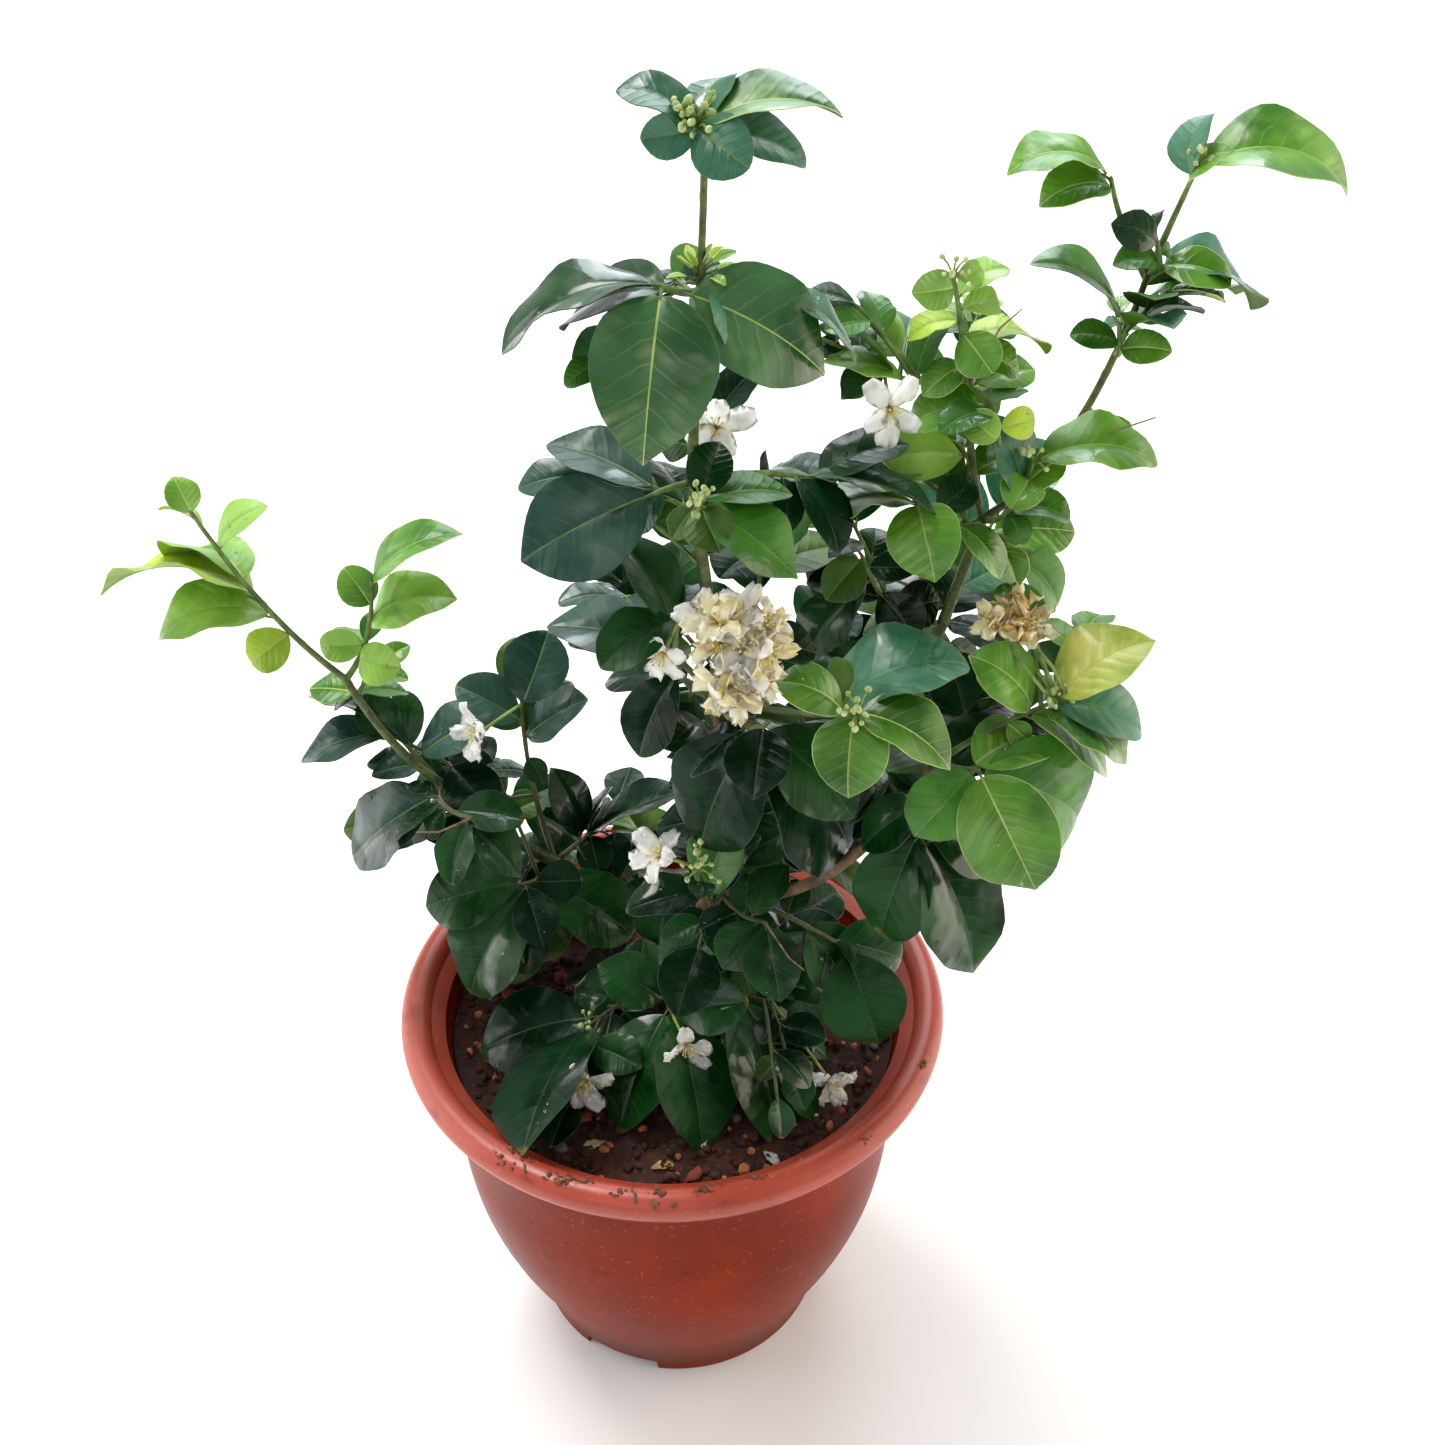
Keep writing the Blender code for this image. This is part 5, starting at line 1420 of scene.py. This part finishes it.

# The leaves of the side twigs: smaller blades, most of them old and dark, their darkness partly
# painted shade low in the crown, with fresh ones high on the right side and at the end of the
# left arm.
shapes = []
for number, (name, order, leaflet) in enumerate(twig_leaves):
    dice = Random(f"{name} {number} twig blade")
    foot = leaflet[0]
    # Low twig leaves take the darkest blades, partly as painted shade; the higher ones are lighter.
    row = ("deep", "night", "night", "deep", "olive")
    if foot.z > 400 * MM and foot.x > 90 * MM:
        row = ("leek", "moss", "leek", "sea", "fresh")
    elif foot.z > 420 * MM:
        row = ("moss", "deep", "slate")
    elif foot.x < -100 * MM and foot.z > 360 * MM:
        row = ("leek", "fresh", "moss")
    shapes.append(leaf_shape(leaflet, paints_of(dice.choice(row)), dice))
joined("inner_foliage", shapes, paints.values())

# The blossom: white flowers of five blunt petals that curl back round a small cup, with a tuft
# of pale stamens. They turn cream and ochre as they age.
petal_rows = 6
petal_thick = 0.3 * MM


def petal_shape(leaflet, crumple, seed):
    """A closed petal, narrow at its foot, broad and blunt at its end, and crumpled with age."""
    middles = midrib(leaflet, [k / petal_rows for k in range(petal_rows + 1)])
    verts, places = [], []
    for k, (place, side, lift) in enumerate(middles):
        share = k / petal_rows
        half = leaflet[4] / 2 * max(sin(pi * min(0.05 + share**1.3 * 0.81, 0.93)) ** 0.75, 0.2)
        for x, up in ((-1, 0.6), (-0.5, 1), (0, 1), (0.5, 1), (1, 0.6), (0.5, -1), (0, -1), (-0.5, -1)):
            ruffle = crumple * half * noise.noise(Vector((x * 1.7 + seed, share * 4.1, seed * 3)))
            hollow = (0.3 * x * x - 0.12 * abs(x)) * half + ruffle * (0.3 + share)
            narrowed = x * half * (1 - 0.2 * crumple)
            verts.append(place + side * narrowed + lift * (hollow + up * petal_thick / 2))
            places.append((0.5 + 0.5 * x, share))
    faces = []
    for k in range(petal_rows):
        for j in range(8):
            a, b = k * 8 + j, k * 8 + (j + 1) % 8
            faces.append((b, a, a + 8, b + 8))
    faces += [tuple(range(8)), tuple(reversed(range(petal_rows * 8, petal_rows * 8 + 8)))]
    return verts, faces, places


def flower_shapes(heart, outward, size, age, dice):
    """One flower as (petals, green parts, stamens), each a list of closed shapes."""
    across = outward.orthogonal().normalized()
    petals, greens, stamens = [], [], []
    start = dice.uniform(0, 2 * pi)
    for k in range(5):
        way = Quaternion(outward, start + 2 * pi * k / 5 + dice.uniform(-0.2, 0.2)) @ across
        open_angle = radians(dice.uniform(12, 52) - 5 * age)
        along = (way * sin(open_angle) + outward * cos(open_angle)).normalized()
        up = (outward - along * outward.dot(along)).normalized()
        long = size * dice.uniform(0.88, 1.1)
        bend = dice.uniform(35, 85) * (1 + 0.4 * age)
        petal = (heart, along, up, long, long * dice.uniform(0.6, 0.78), bend)
        verts, faces, places = petal_shape(petal, 0.8 + 0.45 * age, dice.uniform(0, 50))
        petals.append((verts, faces, [age] * len(faces), places))
    cup = [heart - outward * 3 * MM, heart - outward * 1 * MM, heart + outward * 1 * MM]
    greens.append(tube(cup, [0.8 * MM, 1.5 * MM, 1.3 * MM], 8))
    for k in range(7):
        aside = Quaternion(outward, 2 * pi * k / 7) @ across
        way = (outward + aside * dice.uniform(0.25, 0.5)).normalized()
        end = heart + way * size * dice.uniform(0.42, 0.58)
        stamens.append(tube([heart, end], [0.28 * MM, 0.2 * MM], 5))
        stamens.append(lump(end, 0.55 * MM, 0.1, 1.0, dice))
    return petals, greens, stamens


# How old the flowers of a shoot are, in turn: 0 is white, 1 cream and 2 ochre. A shoot that isn't
# named has white ones. Then the two clusters: how many flowers they have round their middle, how
# far the middle is shifted and how far they reach in mm, and how close the set flowers stay to it.
# Last, shoots whose flowers are shifted by some mm.
ages_of = {"right_front": (1, 2, 1), "blossom": (0, 1, 0, 1, 0, 1, 0, 1, 1, 0, 2)}
blossom_middles = {
    "blossom": (7, (-4, -4, -1), (8, 8, 15), 0.72),
    "right_front": (2, (-5, 0, -2), (6, 5, 5), 1),
}
shifts_of = {"ground_left": (5, -8, 13), "ground_front": (2, -4, 4)}
cluster_petal, single_petal = (12.0, 14.5), (14.0, 17.0)
all_petals, all_greens, all_stamens = [], [], []
for name, stem in stems.items():
    ways = [heading(compass, rise) for compass, rise, reach in flowers_of.get(name, ())]
    hearts = [stem[-1] + way * flower[2] * MM for way, flower in zip(ways, flowers_of.get(name, ()))]
    dice = Random(name + " more blossom")
    if name in blossom_middles:
        more, shift, spread, drawn_in = blossom_middles[name]
        middle = sum(hearts, Vector()) / len(hearts) + Vector(shift) * MM
        hearts = [middle.lerp(heart, drawn_in) for heart in hearts]
        for k in range(more):
            way = heading_any(dice)
            hearts.append(middle + Vector([way[i] * spread[i] for i in range(3)]) * MM)
            ways.append((way + Vector((0, -0.6, 0.3))).normalized())
    for order, (heart, way) in enumerate(zip(hearts, ways)):
        heart = heart + Vector(shifts_of.get(name, (0, 0, 0))) * MM
        dice = Random(f"{name} flower {order}")
        ages = ages_of.get(name, (0,))
        age = ages[order % len(ages)]
        outward = (way + Vector((0, -0.5, 0.6))).normalized()
        long = dice.uniform(*(cluster_petal if name in blossom_middles else single_petal))
        petals, greens, stamens = flower_shapes(heart, outward, long * MM, age, dice)
        all_petals += petals
        all_greens += greens + [tube(bow(stem[-1], way, heart - outward * 2 * MM, 3), [0.8 * MM] * 4, 6)]
        all_stamens += stamens
petal_white = finish("white_petal", (254, 250, 228), (255, 255, 250), 120.0, (0.45, 0.6), 0.0002, 900.0)
petal_cream = finish("cream_petal", (250, 220, 116), (255, 248, 204), 130.0, (0.5, 0.65), 0.0002, 900.0)
petal_ochre = finish("ochre_petal", (200, 146, 62), (244, 206, 118), 140.0, (0.6, 0.8), 0.0003, 900.0)
petal_finishes = (petal_white, petal_cream, petal_ochre)
heart_colours = ((232, 226, 140), (240, 204, 88), (168, 116, 48))
for petal_finish, heart_colour, weight in zip(petal_finishes, heart_colours, (0.55, 0.85, 0.7)):
    lengthwise = leaf_places(petal_finish)[1]
    lay_over(petal_finish, heart_colour, ranged(petal_finish, lengthwise, 0.5, 0.15, 0, weight))
    shader = shader_of(petal_finish)
    shader.inputs["Subsurface Weight"].default_value = 0.7
    shader.inputs["Subsurface Scale"].default_value = 0.006
    shader.inputs["Subsurface Radius"].default_value = (1.0, 0.96, 0.8)
joined("petals", all_petals, petal_finishes)
flower_green = finish("flower_stalk_green", (104, 132, 56), (150, 172, 92), 200.0, (0.45, 0.6))
joined("flower_cups", all_greens, [flower_green])
stamen_yellow = finish("stamen_yellow", (214, 190, 96), (240, 226, 160), 300.0, (0.5, 0.7))
joined("stamens", all_stamens, [stamen_yellow])

# The buds: small green-white pearls in tight clusters at the ends of some shoots, on hair-thin
# stalks. A row is how many there are and how far from the tip they stand, in mm.
buds_of = {
    "crown": (26, 10), "front": (16, 9), "right_front": (9, 8), "low_front": (14, 11),
    "upper_front": (12, 8), "east_top": (8, 8), "right_side": (9, 7), "tall_top": (7, 6),
    "ground_left": (6, 9),
}
bud_shapes, bud_stalks = [], []
for name, (count, spread) in buds_of.items():
    dice = Random(name + " buds")
    tip = stems[name][-1]
    for k in range(count):
        way = (heading_any(dice) + Vector((0, -0.5, 0.9))).normalized()
        end = tip + way * spread * dice.uniform(0.55, 1.1) * MM
        bud_shapes.append(lump(end, dice.uniform(0.9, 1.7) * MM, 0.1, 1.15, dice))
        middle = tip.lerp(end, 0.5) + Vector((0, 0, 1)) * MM
        bud_stalks.append(tube([tip, middle, end], [0.5 * MM, 0.4 * MM, 0.4 * MM], 5))
bud_green = finish("bud_green", (150, 172, 96), (206, 216, 158), 260.0, (0.4, 0.6))
joined("flower_buds", bud_shapes, [bud_green])
joined("bud_stalks", bud_stalks, [flower_green])

# The young growth: a tuft of pale young leaves on thin stalks that sprouts above the whorl. A row
# holds the foot and the tip of one leaf in mm.
young_rows = (
    ((17, -60, 594), (14, -64, 604)), ((17, -60, 594), (20, -62, 605)), ((18, -60, 595), (27, -61, 604)),
    ((18, -60, 594), (31, -60, 600)), ((16, -61, 593), (7, -66, 598)), ((17, -61, 595), (11, -67, 603)),
    ((18, -59, 596), (25, -52, 602)), ((16, -60, 594), (13, -50, 601)), ((19, -61, 593), (24, -68, 597)),
)
young_shapes, young_stalks = [], []
for order, (foot, tip) in enumerate(young_rows):
    dice = Random(f"young {order}")
    foot, tip = Vector(foot) * MM, Vector(tip) * MM
    along = (tip - foot).normalized()
    up = (light - along * light.dot(along)).normalized()
    start = foot.lerp(tip, 0.35)
    long = dice.uniform(7, 10) * MM
    young = (start, along, up, long, long * dice.uniform(0.42, 0.55), dice.uniform(10, 60), stalked_rings)
    blade_name = dice.choice(("fresh", "lime", "leek"))
    young_shapes.append(leaf_shape(young, paints_of(blade_name), dice, (0.9, 0.6, 0.4, 0.3), 0.2 * MM))
    young_stalks.append(tube([foot, start + along * 0.8 * MM], [0.6 * MM, 0.5 * MM], 6))
joined("young_leaves", young_shapes, paints.values())
joined("young_stems", young_stalks, [shoot_green])

# The bare twigs: thin dry ones that have lost their leaves, grown out of limbs and shoots. A row
# holds the points of one twig in mm.
bare_rows = (
    ((148, 2, 496), (160, 10, 498), (177, 7, 506), (193, 0, 516)),
    ((177, 7, 506), (184, 9, 505)),
    ((121, 14, 522), (126, 10, 538), (130, 6, 550), (137, 4, 558)),
    ((44, -44, 292), (54, -60, 286), (60, -72, 290)),
    ((-92, 4, 313), (-104, -12, 318), (-112, -22, 326)),
    ((83, 12, 448), (78, -4, 462), (72, -16, 470)),
    ((32, 68, 345), (36, 92, 352), (34, 108, 366)),
    ((36, 92, 352), (46, 100, 356)),
)
bare_shapes = []
for row in bare_rows:
    points = [Vector(point) * MM for point in row]
    widths = [(0.75 - 0.45 * k / (len(row) - 1)) * MM for k in range(len(row))]
    bare_shapes.append(tube(points, widths, 6))
dry_wood = finish("dry_twig", (98, 82, 58), (150, 130, 98), 260.0, (0.7, 0.9), 0.0003, 1200.0)
joined("bare_twigs", bare_shapes, [dry_wood])

# The litter on the rim: bits of root and stalk stuck to its front. A row holds the compass angle
# and the angle up the bead's round of both ends, in degrees.
litter_rows = (
    (-125, 130, -123, 96), (-122, 120, -120, 88), (-119.5, 84, -118, 56), (-113, 104, -111, 88),
    (-110.5, 110, -107.5, 96), (-108, 92, -106, 104), (-97, 128, -96.5, 84), (-96, 88, -95.5, 48),
    (-101, 74, -99, 70), (-82, 96, -80.5, 84),
)
litter_widths = (0.45, 0.6, 0.5, 0.55, 0.25)
litter_shapes = []
for compass, around, last_compass, last_around in litter_rows:
    points = []
    for k in range(5):
        turn = radians(compass + (last_compass - compass) * k / 4)
        up_round = radians(around + (last_around - around) * k / 4 + 4 * sin(k * 2.1))
        points.append(on_bead(turn, up_round, 0.3 * MM))
    litter_shapes.append(tube(points, [width * MM for width in litter_widths], 6))
root_brown = finish("root_brown", (74, 44, 32), (116, 76, 54), 300.0, (0.7, 0.9), 0.0003, 1200.0)
joined("rim_litter", litter_shapes, [root_brown])

# The fallen petals: single petals that lie on the soil, some of them cream or ochre. A row holds
# a petal's place in mm, its heading in degrees and its age.
fallen_rows = (
    (76, -43, 20, 0), (16, -88, 100, 0), (-30, -80, 200, 1), (44, -86, 310, 0),
    (-66, -32, 80, 2), (60, 40, 30, 1), (-40, 62, 150, 2), (10, 84, 260, 1),
    (-84, 8, 330, 0), (88, -8, 60, 2), (-8, -96, 15, 2), (70, -66, 170, 1),
)
fallen = []
for x, y, compass, age in fallen_rows:
    dice = Random(f"{x} {y}")
    rest = Vector((x, y, 0)) * MM + Vector((0, 0, soil_top + soil_lift(x * MM, y * MM) + 1.6 * MM))
    along = heading(compass, 8)
    up = (Vector((0, 0, 1)) - along * along.z).normalized()
    long = dice.uniform(8, 12) * MM
    verts, faces, places = petal_shape((rest, along, up, long, long * 0.62, 20), 0.7, dice.uniform(0, 50))
    fallen.append((verts, faces, [age] * len(faces), places))
joined("fallen_petals", fallen, petal_finishes)

# The water drops: small clear beads of rain that lie on the leaves of the wet masses and along the
# front of the rim.
rim_drops = 46
wet_masses = (
    "left_spray", "left_fork", "left_over", "left_under", "low_left", "low_right", "ground_left",
    "ground_front", "ground_right", "low_centre", "low_front", "whorl", "right_nose", "front", "east_right",
)
drop_shapes = []
dice = Random(21)
for name, order, leaflet in grown:
    if name not in wet_masses or dice.random() > 0.6:
        continue
    for k in range(dice.randrange(1, 5)):
        share, x = dice.uniform(0.25, 0.85), dice.uniform(-0.6, 0.6)
        place, side, lift = midrib(as_shown(name, leaflet), [share])[0]
        size = dice.uniform(0.4, 0.95) * MM
        reach = leaflet[4] / 2 * sin(pi * share) ** 0.5
        spot = place + side * x * reach + lift * (0.12 * abs(x) * reach + 0.45 * MM)
        drop_shapes.append(lump(spot, size, 0.05, 0.8, dice))
for k in range(rim_drops):
    place = on_bead(radians(dice.uniform(-160, -20)), radians(dice.uniform(45, 130)))
    drop_shapes.append(lump(place, dice.uniform(0.3, 0.8) * MM, 0.05, 0.8, dice))
water = finish("water_drop", (206, 222, 214), (244, 250, 248), 300.0, (0.02, 0.06))
shader = shader_of(water)
shader.inputs["Transmission Weight"].default_value = 0.92
shader.inputs["IOR"].default_value = 1.33
joined("water_drops", drop_shapes, [water])

# The floor, the light and the camera: a plain pale floor, soft light from above with a large
# bright sheet behind the plant for the sheen on its leaves, and the camera as the photo has it.
camera_place, camera_down, focal_length = (0.0247, -0.5747, 0.7802), 35.485, 39.86
bpy.ops.mesh.primitive_plane_add(size=30, location=(0, 8, 0))
floor = bpy.context.object
floor.name = "floor"
pale = bpy.data.materials.new("pale_floor")
pale.use_nodes = True
shader = shader_of(pale)
shader.inputs["Base Color"].default_value = (0.94, 0.94, 0.94, 1)
shader.inputs["Roughness"].default_value = 0.9
shader.inputs["Specular IOR Level"].default_value = 0.1
floor.data.materials.append(pale)

high = bpy.data.lights.new("high_light", "SUN")
high.energy = 2.5
high.angle = radians(28)
high.color = (1.0, 0.985, 0.95)
high_light = bpy.data.objects.new("high_light", high)
bpy.context.collection.objects.link(high_light)
high_light.rotation_euler = Vector((0.32, -0.36, -1)).to_track_quat("-Z", "Y").to_euler()

# A row holds the name of a square sheet of light, its place and the point it faces, its size in
# metres, its power in watts and its colour.
sheets = (
    ("sky_sheet", (0.2, 2.2, 1.9), (0, 0, 0.4), 1.6, 36, (0.88, 0.95, 1.0)),
    ("front_fill", (-0.5, -2.4, 1.9), (0, 0, 0.4), 1.8, 7.5, (1.0, 0.98, 0.95)),
    ("warm_side", (1.6, 0.1, 0.7), (0, 0, 0.26), 1.7, 22, (1.0, 0.86, 0.68)),
    ("left_side", (-1.6, 0.2, 0.7), (0, 0, 0.26), 1.7, 20, (1.0, 0.94, 0.94)),
)
for name, place, aim, size, power, colour in sheets:
    lamp = bpy.data.lights.new(name, "AREA")
    lamp.size = size
    lamp.energy = power
    lamp.color = colour
    lamp_object = bpy.data.objects.new(name, lamp)
    bpy.context.collection.objects.link(lamp_object)
    lamp_object.location = place
    lamp_object.rotation_euler = (Vector(aim) - Vector(place)).to_track_quat("-Z", "Y").to_euler()

world = bpy.data.worlds.new("soft_sky")
bpy.context.scene.world = world
world.use_nodes = True
world.node_tree.nodes["Background"].inputs["Color"].default_value = (0.95, 0.98, 1.0, 1)
world.node_tree.nodes["Background"].inputs["Strength"].default_value = 0.5

lens = bpy.data.cameras.new("camera")
lens.sensor_width = 36
lens.lens = focal_length
lens.clip_end = 60
camera = bpy.data.objects.new("camera", lens)
bpy.context.collection.objects.link(camera)
camera.location = camera_place
camera.rotation_euler = (radians(90 - camera_down), 0, 0)
bpy.context.scene.camera = camera
bpy.context.scene.view_settings.view_transform = "Standard"
